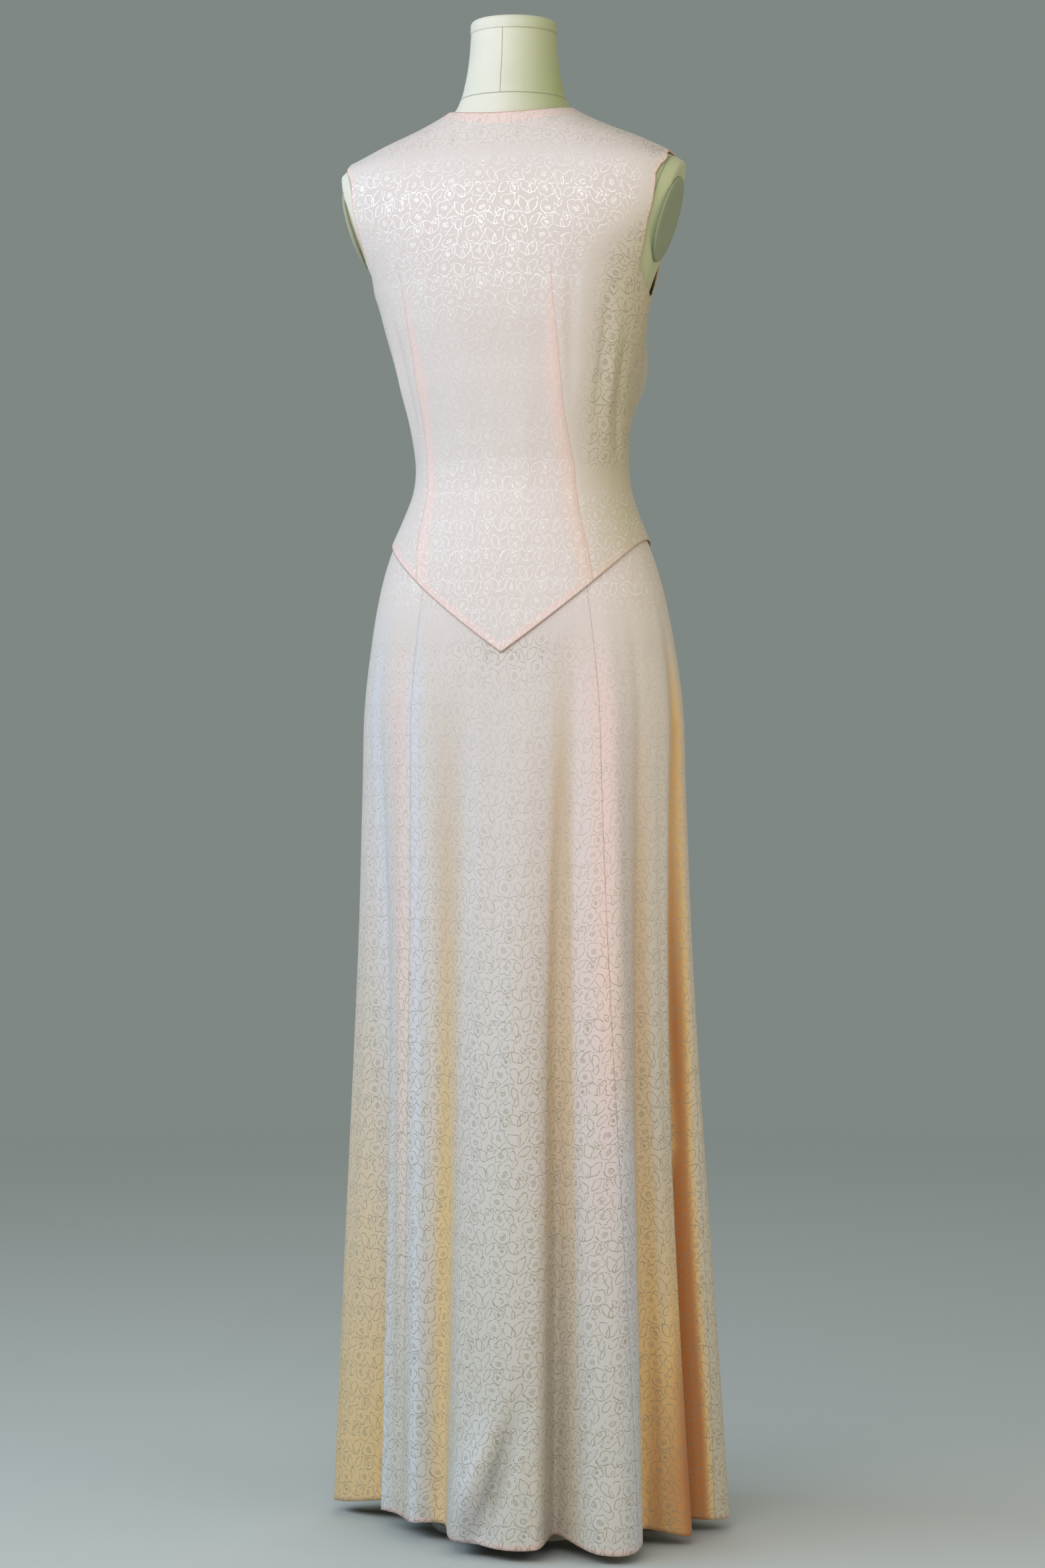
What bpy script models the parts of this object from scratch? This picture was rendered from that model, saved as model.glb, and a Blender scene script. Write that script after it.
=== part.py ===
"""Sleeveless evening gown standing on a limbless dress form. Metres, +Z up.

The origin is on the floor under the stand's pole. The gown's front faces -Y, its
back +Y, and the wearer's right side is -X. Every surface of the body and the gown
is a stack of level rings. A ring is half an ellipse behind and half an ellipse in
front of one line, so an angle of 0 is the centre back, 90 the right side, 180 the
centre front and -90 the left side.
"""

import math

import bmesh
import bpy
import numpy as np

# Cloth and seams
CLOTH_THICKNESS = 0.002
SEAM_GAP = 0.0005
FORM_CLEARANCE = 0.0013
LAP_LENGTH = 0.012
LAP_GAP = 0.0012
LAP_BLEND_LOW, LAP_BLEND_HIGH = 1.09, 1.16

# Heights of the gown
POINT_HEIGHT = 0.950
SIDE_SEAM_FOOT = 1.072
SHOULDER_NECK_HEIGHT = 1.537
BACK_NECK_DEPTH = 0.009
FRONT_NECK_DEPTH = 0.097
NECK_HALF_WIDTH = 0.066
HEM_HEIGHT = 0.016
HEM_LIFT = 0.20
FOLD_GROWTH = 1.0

# The gown hangs turned a little towards the wearer's right, in degrees at the point
GOWN_TURN = 2.0

# The dress form and its stand
ARM_CUT_HEIGHT = 1.46
ARM_CUT_HALF_WIDTH = 0.1862
ARM_CUT_SLOPE = 0.31
ARM_CUT_FOOT = 1.34
ARM_PLATE_THICKNESS = 0.003
ARM_PLATE_HALF_DEPTH = 0.036
ARM_PLATE_HALF_HEIGHT = 0.047
ARM_PLATE_CENTRE_Y = 0.050
ARM_PLATE_CENTRE_Z = 1.415
NECK_TOP = 1.622
CAP_HEIGHT = 0.015
CAP_RADIUS = 0.0468
CAP_ROUNDING = 0.006
FORM_FOOT = 0.790
POLE_RADIUS = 0.0125
BASE_RADIUS = 0.100
BASE_THICKNESS = 0.011
BASE_EDGE = 0.004
COLLAR_RADIUS = 0.024
COLLAR_TOP = 0.045
SEAT_GAP = 0.0003

# The form is a little smaller than the gown's lining surface: height, inset
FORM_INSETS = (
    (0.79, 0.0),
    (0.86, 0.0035),
    (1.30, 0.0035),
    (1.34, 0.0015),
    (1.50, 0.0015),
    (1.52, 0.0),
)

# Bust of a general figure, rounded and moved out from the ring
BUST_HEIGHT = 1.262
BUST_HALF_SPACING = 0.086
BUST_DEPTH = 0.050
BUST_SPREAD_X = 0.054
BUST_SPREAD_Z = 0.048

# Rings of the body, from the hips up: height, half width, centre line's y, depth
# behind it and depth in front of it
BODY_RINGS = (
    (0.900, 0.1730, 0.005, 0.110, 0.109),
    (0.950, 0.1675, 0.007, 0.105, 0.107),
    (1.000, 0.1590, 0.010, 0.100, 0.103),
    (1.040, 0.1490, 0.012, 0.095, 0.098),
    (1.070, 0.1385, 0.012, 0.091, 0.094),
    (1.099, 0.1260, 0.010, 0.087, 0.091),
    (1.125, 0.1180, 0.007, 0.084, 0.089),
    (1.150, 0.1155, 0.007, 0.083, 0.088),
    (1.180, 0.1165, 0.013, 0.081, 0.091),
    (1.210, 0.1200, 0.021, 0.079, 0.094),
    (1.240, 0.1265, 0.029, 0.077, 0.097),
    (1.270, 0.1330, 0.035, 0.076, 0.098),
    (1.300, 0.1405, 0.040, 0.077, 0.098),
    (1.330, 0.1480, 0.043, 0.079, 0.097),
    (1.360, 0.1590, 0.045, 0.080, 0.095),
    (1.390, 0.1760, 0.047, 0.080, 0.090),
    (1.415, 0.1900, 0.048, 0.079, 0.084),
    (1.440, 0.1970, 0.048, 0.077, 0.079),
    (1.462, 0.1980, 0.048, 0.072, 0.070),
    (1.479, 0.1890, 0.047, 0.067, 0.062),
    (1.490, 0.1670, 0.046, 0.064, 0.056),
    (1.503, 0.1400, 0.044, 0.062, 0.051),
    (1.515, 0.1100, 0.043, 0.061, 0.050),
    (1.526, 0.0860, 0.042, 0.060, 0.050),
    (1.537, 0.0660, 0.042, 0.059, 0.051),
    (1.550, 0.0580, 0.042, 0.057, 0.050),
    (1.569, 0.0525, 0.042, 0.0535, 0.0500),
    (1.591, 0.0488, 0.042, 0.0490, 0.0480),
    (1.622, 0.0462, 0.042, 0.0462, 0.0462),
)

# The form below the hips, rounding in to its foot
FORM_FOOT_RINGS = (
    (0.790, 0.1450, 0.005, 0.090, 0.090),
    (0.810, 0.1600, 0.005, 0.099, 0.098),
    (0.850, 0.1700, 0.005, 0.107, 0.106),
)

# The skirt below the hips, hanging free
SKIRT_RINGS = (
    (0.000, 0.2010, -0.004, 0.196, 0.186),
    (0.200, 0.1930, -0.003, 0.176, 0.168),
    (0.350, 0.1870, -0.001, 0.161, 0.153),
    (0.500, 0.1810, 0.001, 0.147, 0.140),
    (0.650, 0.1765, 0.002, 0.132, 0.127),
    (0.800, 0.1745, 0.004, 0.118, 0.116),
)

# Flutes and hollows of the skirt: angle where it starts, angle at the hem, depth at
# the hem (out is plus), half width in degrees, height where it starts
SKIRT_FOLDS = (
    (-86, -97, 0.024, 14, 0.96),
    (-52, -74, -0.040, 15, 0.99),
    (-40, -48, -0.048, 48, 0.90),
    (-18, -20, -0.034, 15, 0.93),
    (5, 13, 0.026, 19, 0.90),
    (24, 25, -0.050, 8, 0.97),
    (41, 38, 0.052, 18, 0.98),
    (57, 57, -0.020, 9, 0.92),
    (71, 69, 0.030, 10, 0.96),
    (78, 81, -0.024, 9, 0.98),
    (90, 98, 0.022, 16, 0.98),
    (112, 113, -0.026, 13, 0.95),
    (128, 127, 0.024, 14, 0.93),
    (152, 150, -0.030, 14, 0.94),
    (178, 176, 0.022, 17, 0.90),
    (206, 205, -0.030, 14, 0.94),
    (230, 231, 0.026, 14, 0.93),
    (246, 247, -0.022, 12, 0.95),
)

# Rows of a bodice panel: height at its centre line, height at its side edge
BODICE_ROWS = (
    (0.950, 1.072),
    (0.975, 1.084),
    (1.005, 1.098),
    (1.040, 1.115),
    (1.080, 1.138),
    (1.120, 1.163),
    (1.158, 1.190),
    (1.190, 1.214),
    (1.216, 1.235),
    (1.240, 1.255),
    (1.262, 1.274),
    (1.284, 1.293),
    (1.310, 1.313),
    (1.338, 1.333),
    (1.362, 1.348),
    (1.385, 1.368),
    (1.408, 1.395),
    (1.430, 1.422),
    (1.450, 1.448),
    (1.468, 1.468),
    (1.483, 1.480),
    (1.496, 1.491),
    (1.508, 1.507),
    (1.518, 1.522),
    (1.528, 1.537),
)

# Armholes: height, angle from the panel's centre line to the cut edge
BACK_ARMHOLE = (
    (1.333, 90.0),
    (1.348, 75.0),
    (1.368, 65.0),
    (1.410, 58.0),
    (1.458, 57.5),
    (1.468, 61.0),
    (1.480, 70.0),
    (1.491, 90.0),
)
FRONT_ARMHOLE = (
    (1.333, 90.0),
    (1.348, 77.0),
    (1.368, 68.0),
    (1.410, 58.0),
    (1.448, 57.0),
    (1.468, 62.0),
    (1.480, 71.0),
    (1.491, 90.0),
)

# Seams of the gores, as shares of the half turn from a centre line to the side
SEAM_TOP, SEAM_HEM = 0.39, 0.48
BACK, FRONT = 0, 180

# Gores: name, shares of the half turn at the top of its two seams, the same at the
# hem, columns of its grid, and the angle of its centre line
SKIRT_GORES = (
    ("skirt_back_side_left", (-1, -SEAM_TOP), (-1, -SEAM_HEM), 20, BACK),
    ("skirt_back_centre", (-SEAM_TOP, SEAM_TOP), (-SEAM_HEM, SEAM_HEM), 26, BACK),
    ("skirt_back_side_right", (SEAM_TOP, 1), (SEAM_HEM, 1), 20, BACK),
    ("skirt_front_side_right", (-1, -SEAM_TOP), (-1, -SEAM_HEM), 14, FRONT),
    ("skirt_front_centre", (-SEAM_TOP, SEAM_TOP), (-SEAM_HEM, SEAM_HEM), 20, FRONT),
    ("skirt_front_side_left", (SEAM_TOP, 1), (SEAM_HEM, 1), 14, FRONT),
)
SKIRT_ROW_SHARES = (0, 0.11, 0.22, 0.33, 0.44, 0.55, 0.65, 0.74, 0.82, 0.88, 0.93, 0.97, 1)

# Heights of the form's rows
FORM_ROW_HEIGHTS = (
    0.790, 0.800, 0.815, 0.850, 0.900, 0.950, 1.000, 1.040, 1.075, 1.110, 1.150,
    1.190, 1.220, 1.242, 1.262, 1.282, 1.305, 1.330, 1.355, 1.385, 1.410, 1.435,
    1.452, 1.466, 1.481, 1.492, 1.503, 1.514, 1.525, 1.537, 1.555, 1.585, 1.622,
)
FORM_SIDES = 40

COLOURS = {
    "gown": (0.80, 0.70, 0.64, 1.0),
    "linen": (0.72, 0.70, 0.63, 1.0),
    "plate": (0.60, 0.60, 0.52, 1.0),
    "steel": (0.74, 0.73, 0.70, 1.0),
}


def clear_scene():
    """Remove every object that the file opened with."""
    for old in list(bpy.data.objects):
        bpy.data.objects.remove(old, do_unlink=True)


def make_material(name, colour, roughness, metallic=0.0):
    """One Principled material."""
    material = bpy.data.materials.new(name)
    material.use_nodes = True
    shader = material.node_tree.nodes["Principled BSDF"]
    shader.inputs["Base Color"].default_value = colour
    shader.inputs["Roughness"].default_value = roughness
    shader.inputs["Metallic"].default_value = metallic
    return material


def curve_through(points, heights):
    """Cubic curve through the rows (height, value, ...) of a table, at the heights."""
    table = np.array(points, dtype=float)
    known = table[:, 0]
    at = np.clip(np.asarray(heights, dtype=float), known[0], known[-1])
    low = np.clip(np.searchsorted(known, at, side="right") - 1, 0, len(known) - 2)
    step = known[low + 1] - known[low]
    share = ((at - known[low]) / step)[..., None]
    values = table[:, 1:]
    slopes = np.gradient(values, known, axis=0)
    start, end = values[low], values[low + 1]
    run = step[..., None]
    rise = end - start
    bend_low = run * slopes[low] - rise
    bend_high = rise - run * slopes[low + 1]
    curve = (1 - share) * bend_low + share * bend_high
    return start + share * rise + share * (1 - share) * curve


def ring_points(rings, angle, height):
    """Points of the rings at angles in radians: an ellipse behind, another in front."""
    sizes = curve_through(rings, height)
    half_width, centre_y, back, front = np.moveaxis(sizes, -1, 0)
    depth = np.where(np.cos(angle) >= 0, back, front)
    x = -half_width * np.sin(angle)
    y = centre_y + depth * np.cos(angle)
    return np.stack(np.broadcast_arrays(x, y, height), axis=-1)


def body_points(rings, angle, height):
    """Ring points with the bust of a general figure moved out of the front."""
    points = ring_points(rings, angle, height)
    x, y, z = np.moveaxis(points, -1, 0)
    across = (np.abs(x) - BUST_HALF_SPACING) / BUST_SPREAD_X
    up = (z - BUST_HEIGHT) / BUST_SPREAD_Z
    facing = np.clip(-np.cos(angle) * 2.2, 0, 1)
    swell = BUST_DEPTH * np.exp(-across ** 2 - up ** 2) * facing
    out_x = np.sign(x) * 0.22 * swell
    return np.stack([x + out_x, y - swell, z], axis=-1)


def outward_normals(surface, angle, height):
    """Unit normals of a surface given as a function of angle and height."""
    step = 0.0005
    along = surface(angle + step, height) - surface(angle - step, height)
    up = surface(angle, height + step) - surface(angle, height - step)
    normal = np.cross(along, up)
    return normal / np.linalg.norm(normal, axis=-1, keepdims=True)


def moved_out(surface, angle, height, distance):
    """Points of a surface moved out along its normals."""
    normal = outward_normals(surface, angle, height)
    return surface(angle, height) + normal * np.asarray(distance)[..., None]


def form_surface(angle, height):
    """The dress form, from its foot to its neck."""
    return body_points(FORM_FOOT_RINGS + BODY_RINGS, angle, height)


def skirt_surface(angle, height):
    """The form's surface down to the hips, and the free rings of the skirt below."""
    return body_points(SKIRT_RINGS + BODY_RINGS, angle, height)


def fold_depth(angle, height):
    """How far the folds push the skirt out: cosine bumps that grow towards the hem."""
    degrees = np.degrees(angle)
    depth = np.zeros(np.broadcast(angle, height).shape)
    for start_angle, hem_angle, fold, half_width, start_height in SKIRT_FOLDS:
        growth = np.clip((start_height - height) / start_height, 0, 1)
        middle = start_angle + (hem_angle - start_angle) * growth
        away = (degrees - middle + 180) % 360 - 180
        share = np.clip(np.abs(away) / half_width, 0, 1)
        depth = depth + fold * growth ** FOLD_GROWTH * 0.5 * (1 + np.cos(np.pi * share))
    return depth


def panel_angle(share):
    """Angle in degrees of a share of the half turn, -1 at one side and 1 at the other."""
    return 90 * share + GOWN_TURN * (1 - share ** 2)


def lower_edge(share):
    """Height of the pointed seam: lowest at the centre line, highest at the sides."""
    return POINT_HEIGHT + (SIDE_SEAM_FOOT - POINT_HEIGHT) * np.sin(np.abs(share) * np.pi / 2)


def neckline(share, depth):
    """Height of the neckline, half an ellipse across between the shoulder seams."""
    angle = np.abs(share) * np.pi / 2
    low = np.full(angle.shape, SHOULDER_NECK_HEIGHT - depth)
    high = np.full(angle.shape, SHOULDER_NECK_HEIGHT)
    for _ in range(30):
        middle = (low + high) / 2
        drop = (SHOULDER_NECK_HEIGHT - middle) / depth
        reach = NECK_HALF_WIDTH * np.sqrt(np.clip(1 - drop ** 2, 0, 1))
        across = curve_through(BODY_RINGS, middle)[..., 0] * np.sin(angle)
        low = np.where(across > reach, middle, low)
        high = np.where(across > reach, high, middle)
    return (low + high) / 2


def seam_angle(share, height, rings):
    """Half the seam gap, as an angle in degrees on the ring at that height."""
    sizes = curve_through(rings, height)
    angle = np.radians(90 * np.abs(share))
    depth = sizes[..., 2]
    speed = np.hypot(sizes[..., 0] * np.cos(angle), depth * np.sin(angle))
    return np.degrees(SEAM_GAP / 2 / speed)


def bodice_grid(armhole, neck_depth, columns, middle):
    """Middle surface of a bodice panel about the angle of its centre line, hem to neck."""
    rows = np.array(BODICE_ROWS)
    even = np.linspace(-1, 1, columns + 1)[None, :]
    share = (even + np.sin(even * np.pi / 2)) / 2
    foot = lower_edge(share)
    top = neckline(share, neck_depth)
    side = (rows[:, 1:] - rows[0, 1]) / (rows[-1, 1] - rows[0, 1])
    centre = (rows[:, :1] - rows[0, 0]) / (rows[-1, 0] - rows[0, 0])
    height = foot + (top - foot) * (centre + (side - centre) * share ** 2)

    cut = np.interp(rows[:, 1], *np.array(armhole).T)[:, None]
    cut = cut - seam_angle(np.ones_like(cut), rows[:, 1:], BODY_RINGS)
    angle = np.radians(share * cut + GOWN_TURN * (1 - share ** 2) + middle)

    raised = np.clip((LAP_BLEND_HIGH - height) / (LAP_BLEND_HIGH - LAP_BLEND_LOW), 0, 1)
    lap = (CLOTH_THICKNESS + LAP_GAP) * raised ** 2 * (3 - 2 * raised)
    distance = FORM_CLEARANCE + CLOTH_THICKNESS / 2 + lap
    return moved_out(form_surface, angle, height, distance)


def skirt_grid(top_shares, hem_shares, columns, middle):
    """Middle surface of a gore, whose seams drift apart from its top to the hem."""
    rise = np.array(SKIRT_ROW_SHARES)[:, None]
    across = np.linspace(0, 1, columns + 1)[None, :]
    seams = np.array(hem_shares) + (np.array(top_shares) - np.array(hem_shares)) * rise
    share = seams[:, :1] + (seams[:, 1:] - seams[:, :1]) * across
    top = lower_edge(share) + LAP_LENGTH
    angle = np.radians(panel_angle(share) + middle)
    hem = HEM_HEIGHT - HEM_LIFT * fold_depth(angle, np.full_like(angle, HEM_HEIGHT))
    height = hem + (top - hem) * rise

    gap = seam_angle(share, height, SKIRT_RINGS + BODY_RINGS)
    inward = np.zeros_like(across)
    inward[0, 0], inward[0, -1] = 1, -1
    angle = np.radians(panel_angle(share) + inward * gap + middle)
    distance = FORM_CLEARANCE + CLOTH_THICKNESS / 2 + fold_depth(angle, height)
    return moved_out(skirt_surface, angle, height, distance)


def new_object(name, mesh, material, collection):
    """An object with its material, in the part's collection."""
    piece = bpy.data.objects.new(name, mesh)
    mesh.materials.append(material)
    collection.objects.link(piece)
    return piece


def grid_faces(rows, columns):
    """Four-sided faces between the rows and columns of a grid of points."""
    corner = np.arange(rows - 1)[:, None] * columns + np.arange(columns - 1)
    faces = np.stack([corner, corner + 1, corner + columns + 1, corner + columns], axis=-1)
    return faces.reshape(-1, 4)


def cloth_panel(name, grid, material, collection):
    """A wall of cloth: an open grid with Solidify, half its thickness on each side."""
    faces = grid_faces(*grid.shape[:2])
    mesh = bpy.data.meshes.new(name)
    mesh.from_pydata(grid.reshape(-1, 3).tolist(), [], faces.tolist())
    mesh.shade_smooth()
    piece = new_object(name, mesh, material, collection)
    wall = piece.modifiers.new("Wall", "SOLIDIFY")
    wall.thickness = CLOTH_THICKNESS
    wall.offset = 0
    return piece


def arm_cut(height):
    """Half width of the slanting flat cut at the arm ends."""
    return ARM_CUT_HALF_WIDTH + ARM_CUT_SLOPE * (height - ARM_CUT_HEIGHT)


def make_form(material, collection):
    """The torso: a loft of rings, cut flat at the arms and closed at foot and neck."""
    height = np.array(FORM_ROW_HEIGHTS)[:, None]
    angle = np.linspace(0, 2 * np.pi, FORM_SIDES, endpoint=False)[None, :]
    angle, height = np.broadcast_arrays(angle, height)
    inset = np.interp(height, *np.array(FORM_INSETS).T)
    points = moved_out(form_surface, angle, height, -inset)
    limit = np.where(height >= ARM_CUT_FOOT, arm_cut(height), np.inf)
    points[..., 0] = np.clip(points[..., 0], -limit, limit)

    rows = len(FORM_ROW_HEIGHTS)
    wrapped = np.concatenate([np.arange(FORM_SIDES), [0]])
    number = np.arange(rows)[:, None] * FORM_SIDES + wrapped
    lower, upper = number[:-1], number[1:]
    sides = np.stack([lower[:, :-1], lower[:, 1:], upper[:, 1:], upper[:, :-1]], axis=-1)
    foot = number[0, -2::-1].tolist()
    neck = number[-1, :-1].tolist()
    faces = sides.reshape(-1, 4).tolist() + [foot, neck]
    mesh = bpy.data.meshes.new("form_torso")
    mesh.from_pydata(points.reshape(-1, 3).tolist(), [], faces)
    mesh.shade_smooth()
    return new_object("form_torso", mesh, material, collection)


def turned_piece(name, profile, sides, material, collection, place):
    """A profile at +X, top to bottom, turned about Z with a Screw modifier."""
    mesh = bpy.data.meshes.new(name)
    points = [(radius, 0, height) for radius, height in profile]
    edges = [(i, i + 1) for i in range(len(points) - 1)]
    mesh.from_pydata(points, edges, [])
    piece = new_object(name, mesh, material, collection)
    piece.location = place
    screw = piece.modifiers.new("Turn", "SCREW")
    screw.steps = sides
    screw.render_steps = sides
    screw.use_merge_vertices = True
    screw.merge_threshold = 0.00005
    return piece


def make_cap(material, collection):
    """The round cap on the neck, its upper edge rounded."""
    profile = [(0, CAP_HEIGHT)]
    for turn in np.radians(np.linspace(0, 90, 5)):
        radius = CAP_RADIUS - CAP_ROUNDING * (1 - math.sin(turn))
        profile.append((radius, CAP_HEIGHT - CAP_ROUNDING * (1 - math.cos(turn))))
    profile += [(CAP_RADIUS, 0), (0, 0)]
    place = (0, BODY_RINGS[-1][2], NECK_TOP + SEAT_GAP)
    return turned_piece("form_neck_cap", profile, 28, material, collection, place)


def make_arm_plate(name, side, material, collection):
    """A flat oval plate that lies on the slanting cut of an arm end."""
    mesh = bpy.data.meshes.new(name)
    build = bmesh.new()
    bmesh.ops.create_cone(
        build, cap_ends=True, segments=32, radius1=1, radius2=1, depth=ARM_PLATE_THICKNESS)
    spread = (ARM_PLATE_HALF_HEIGHT, ARM_PLATE_HALF_DEPTH, 1)
    bmesh.ops.scale(build, vec=spread, verts=build.verts)
    build.to_mesh(mesh)
    build.free()
    piece = new_object(name, mesh, material, collection)
    tilt = math.atan(ARM_CUT_SLOPE)
    out = SEAT_GAP + ARM_PLATE_THICKNESS / 2
    reach = arm_cut(ARM_PLATE_CENTRE_Z) + out * math.cos(tilt)
    piece.location = (side * reach, ARM_PLATE_CENTRE_Y, ARM_PLATE_CENTRE_Z - out * math.sin(tilt))
    piece.rotation_euler = (0, side * (math.pi / 2 + tilt), 0)
    return piece


def make_stand(material, collection):
    """A heavy round base with a collar, and the pole that carries the form."""
    profile = (
        (0, COLLAR_TOP),
        (COLLAR_RADIUS, COLLAR_TOP),
        (COLLAR_RADIUS, BASE_THICKNESS),
        (BASE_RADIUS - BASE_EDGE, BASE_THICKNESS),
        (BASE_RADIUS, BASE_THICKNESS - BASE_EDGE),
        (BASE_RADIUS, 0),
        (0, 0),
    )
    turned_piece("stand_base", profile, 40, material, collection, (0, 0, 0))
    low, high = COLLAR_TOP + SEAT_GAP, FORM_FOOT - SEAT_GAP
    mesh = bpy.data.meshes.new("stand_pole")
    build = bmesh.new()
    bmesh.ops.create_cone(
        build, cap_ends=True, segments=24, radius1=POLE_RADIUS, radius2=POLE_RADIUS,
        depth=high - low)
    build.to_mesh(mesh)
    build.free()
    pole = new_object("stand_pole", mesh, material, collection)
    pole.location = (0, 0, (low + high) / 2)


def make_gown(material, collection):
    """The two bodice panels and the six gores of the skirt."""
    back = bodice_grid(BACK_ARMHOLE, BACK_NECK_DEPTH, 22, BACK)
    front = bodice_grid(FRONT_ARMHOLE, FRONT_NECK_DEPTH, 24, FRONT)
    cloth_panel("bodice_back", back, material, collection)
    cloth_panel("bodice_front", front, material, collection)
    for name, top_shares, hem_shares, columns, middle in SKIRT_GORES:
        grid = skirt_grid(top_shares, hem_shares, columns, middle)
        cloth_panel(name, grid, material, collection)


def main():
    clear_scene()
    collection = bpy.data.collections.new("evening_gown_on_form")
    bpy.context.scene.collection.children.link(collection)
    gown = make_material("gown_cloth", COLOURS["gown"], 0.45)
    linen = make_material("form_linen", COLOURS["linen"], 0.85)
    plate = make_material("form_plate", COLOURS["plate"], 0.85)
    steel = make_material("stand_steel", COLOURS["steel"], 0.4)
    make_gown(gown, collection)
    make_form(linen, collection)
    make_cap(linen, collection)
    make_arm_plate("form_arm_plate_left", 1, plate, collection)
    make_arm_plate("form_arm_plate_right", -1, plate, collection)
    make_stand(steel, collection)


main()
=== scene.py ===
"""Sleeveless evening gown of flowered satin crepe on a limbless linen dress form.

Metres, +Z up. The gown's front faces -Y and the wearer's right side is -X. Body and
gown are stacks of level rings. A ring is half an ellipse behind and half an ellipse
in front of one line: with t the angle from the centre back and W, c, B, F the ring's
half width, centre line, back depth and front depth at height z, its points are
x = -W sin t and y = c + B cos t, or c + F cos t where cos t is negative. Cloth lies
on these rings, moved out along the surface's normal by a clearance and by its folds.
"""

import math

import bpy
import numpy as np
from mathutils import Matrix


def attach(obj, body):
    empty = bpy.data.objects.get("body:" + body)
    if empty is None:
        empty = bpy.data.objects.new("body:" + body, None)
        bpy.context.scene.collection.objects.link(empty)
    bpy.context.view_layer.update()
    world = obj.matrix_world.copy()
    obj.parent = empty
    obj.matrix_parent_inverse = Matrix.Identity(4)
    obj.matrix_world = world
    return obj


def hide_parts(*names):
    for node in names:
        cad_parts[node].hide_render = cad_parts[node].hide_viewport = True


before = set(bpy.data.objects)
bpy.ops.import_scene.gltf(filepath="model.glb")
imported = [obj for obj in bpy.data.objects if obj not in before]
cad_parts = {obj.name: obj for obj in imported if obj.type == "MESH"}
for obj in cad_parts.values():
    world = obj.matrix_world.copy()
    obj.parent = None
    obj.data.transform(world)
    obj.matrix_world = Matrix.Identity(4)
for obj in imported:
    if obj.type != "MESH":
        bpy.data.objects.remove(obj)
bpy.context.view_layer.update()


# ------------------------------------------------------------
# Stand. A heavy round steel foot with a collar, and the pole that carries the form.
# Both are turned and drawn steel under smooth off-white paint, hidden by the skirt,
# and keep the shape they have in the frame.

def add_node(tree, kind, *values, output=0, **settings):
    """One shader node: each value is a socket's number, or the output that feeds it."""
    made = tree.nodes.new("ShaderNode" + kind)
    for key, value in settings.items():
        setattr(made, key, value)
    for socket, value in zip(made.inputs, values):
        if isinstance(value, bpy.types.NodeSocket):
            tree.links.new(value, socket)
        elif value is not None:
            socket.default_value = value
    return made.outputs[output]


def calc(tree, operation, *values):
    """One arithmetic node on numbers or outputs."""
    return add_node(tree, "Math", *values, operation=operation)


def times(tree, first, second, plus=0.0):
    """The product of two numbers or outputs, and what is added to it."""
    return calc(tree, "MULTIPLY_ADD", first, second, plus)


def minus(tree, first, second):
    """The first number or output less the second."""
    return calc(tree, "SUBTRACT", first, second)


def tint(tree, share, first, second):
    """The first colour where share is 0 and the second where it is 1."""
    made = tree.nodes.new("ShaderNodeMix")
    made.data_type = "RGBA"
    for index, value in ((0, share), (6, first), (7, second)):
        if isinstance(value, bpy.types.NodeSocket):
            tree.links.new(value, made.inputs[index])
        else:
            made.inputs[index].default_value = value
    return made.outputs[2]


def ramp(tree, value, low, high, low_result=0.0, high_result=1.0):
    """Straight change between two results while the value goes from low to high."""
    return add_node(tree, "MapRange", value, low, high, low_result, high_result)


def noise(tree, place, scale, detail, output=0):
    """Cloudy variation round 0.5; detail is the number of finer layers laid over it."""
    return add_node(tree, "TexNoise", place, None, scale, detail, output=output)


def own_place(tree):
    """Each point's own coordinates, in metres."""
    return add_node(tree, "TexCoord", output=3)


def new_finish(name, roughness, specular=0.5, sheen=0.0):
    """A Principled material with its plain numbers set on the shader itself."""
    finish = bpy.data.materials.new(name)
    finish.use_nodes = True
    shader = finish.node_tree.nodes["Principled BSDF"]
    shader.inputs["Roughness"].default_value = roughness
    shader.inputs["Specular IOR Level"].default_value = specular
    shader.inputs["Sheen Weight"].default_value = sheen
    return finish, finish.node_tree, shader


def raise_grain(tree, shader, height, strength):
    """Bump as deep as GRAIN_DEPTH from a height, joined to the shader's normal."""
    bump = tree.nodes.new("ShaderNodeBump")
    bump.inputs["Strength"].default_value = strength
    bump.inputs["Distance"].default_value = GRAIN_DEPTH
    tree.links.new(height, bump.inputs["Height"])
    tree.links.new(bump.outputs[0], shader.inputs["Normal"])


GRAIN_DEPTH = 0.0004
PAINT, PAINT_WORN = (0.72, 0.71, 0.67, 1), (0.60, 0.59, 0.55, 1)
PAINT_ROUGHNESS, WORN_SCALE, WORN_SPAN = 0.42, 9, (0.45, 0.75)
SPECKLE_SCALE, SPECKLE_RELIEF = 420, 0.15

paint, tree, shader = new_finish("stand_paint", PAINT_ROUGHNESS)
place = own_place(tree)
worn = ramp(tree, noise(tree, place, WORN_SCALE, 3), *WORN_SPAN)
tree.links.new(tint(tree, worn, PAINT, PAINT_WORN), shader.inputs["Base Color"])
raise_grain(tree, shader, noise(tree, place, SPECKLE_SCALE, 2), SPECKLE_RELIEF)

for name in ("stand_base", "stand_pole"):
    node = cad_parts[name]
    node.data.materials.clear()
    node.data.materials.append(paint)


# ------------------------------------------------------------
# Dress form. A padded torso and neck under off-white linen, cut flat at the arm ends
# and closed by a foot. The linen is sewn at the neck's base, up the middle of the
# neck behind, and round each arm end.

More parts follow.
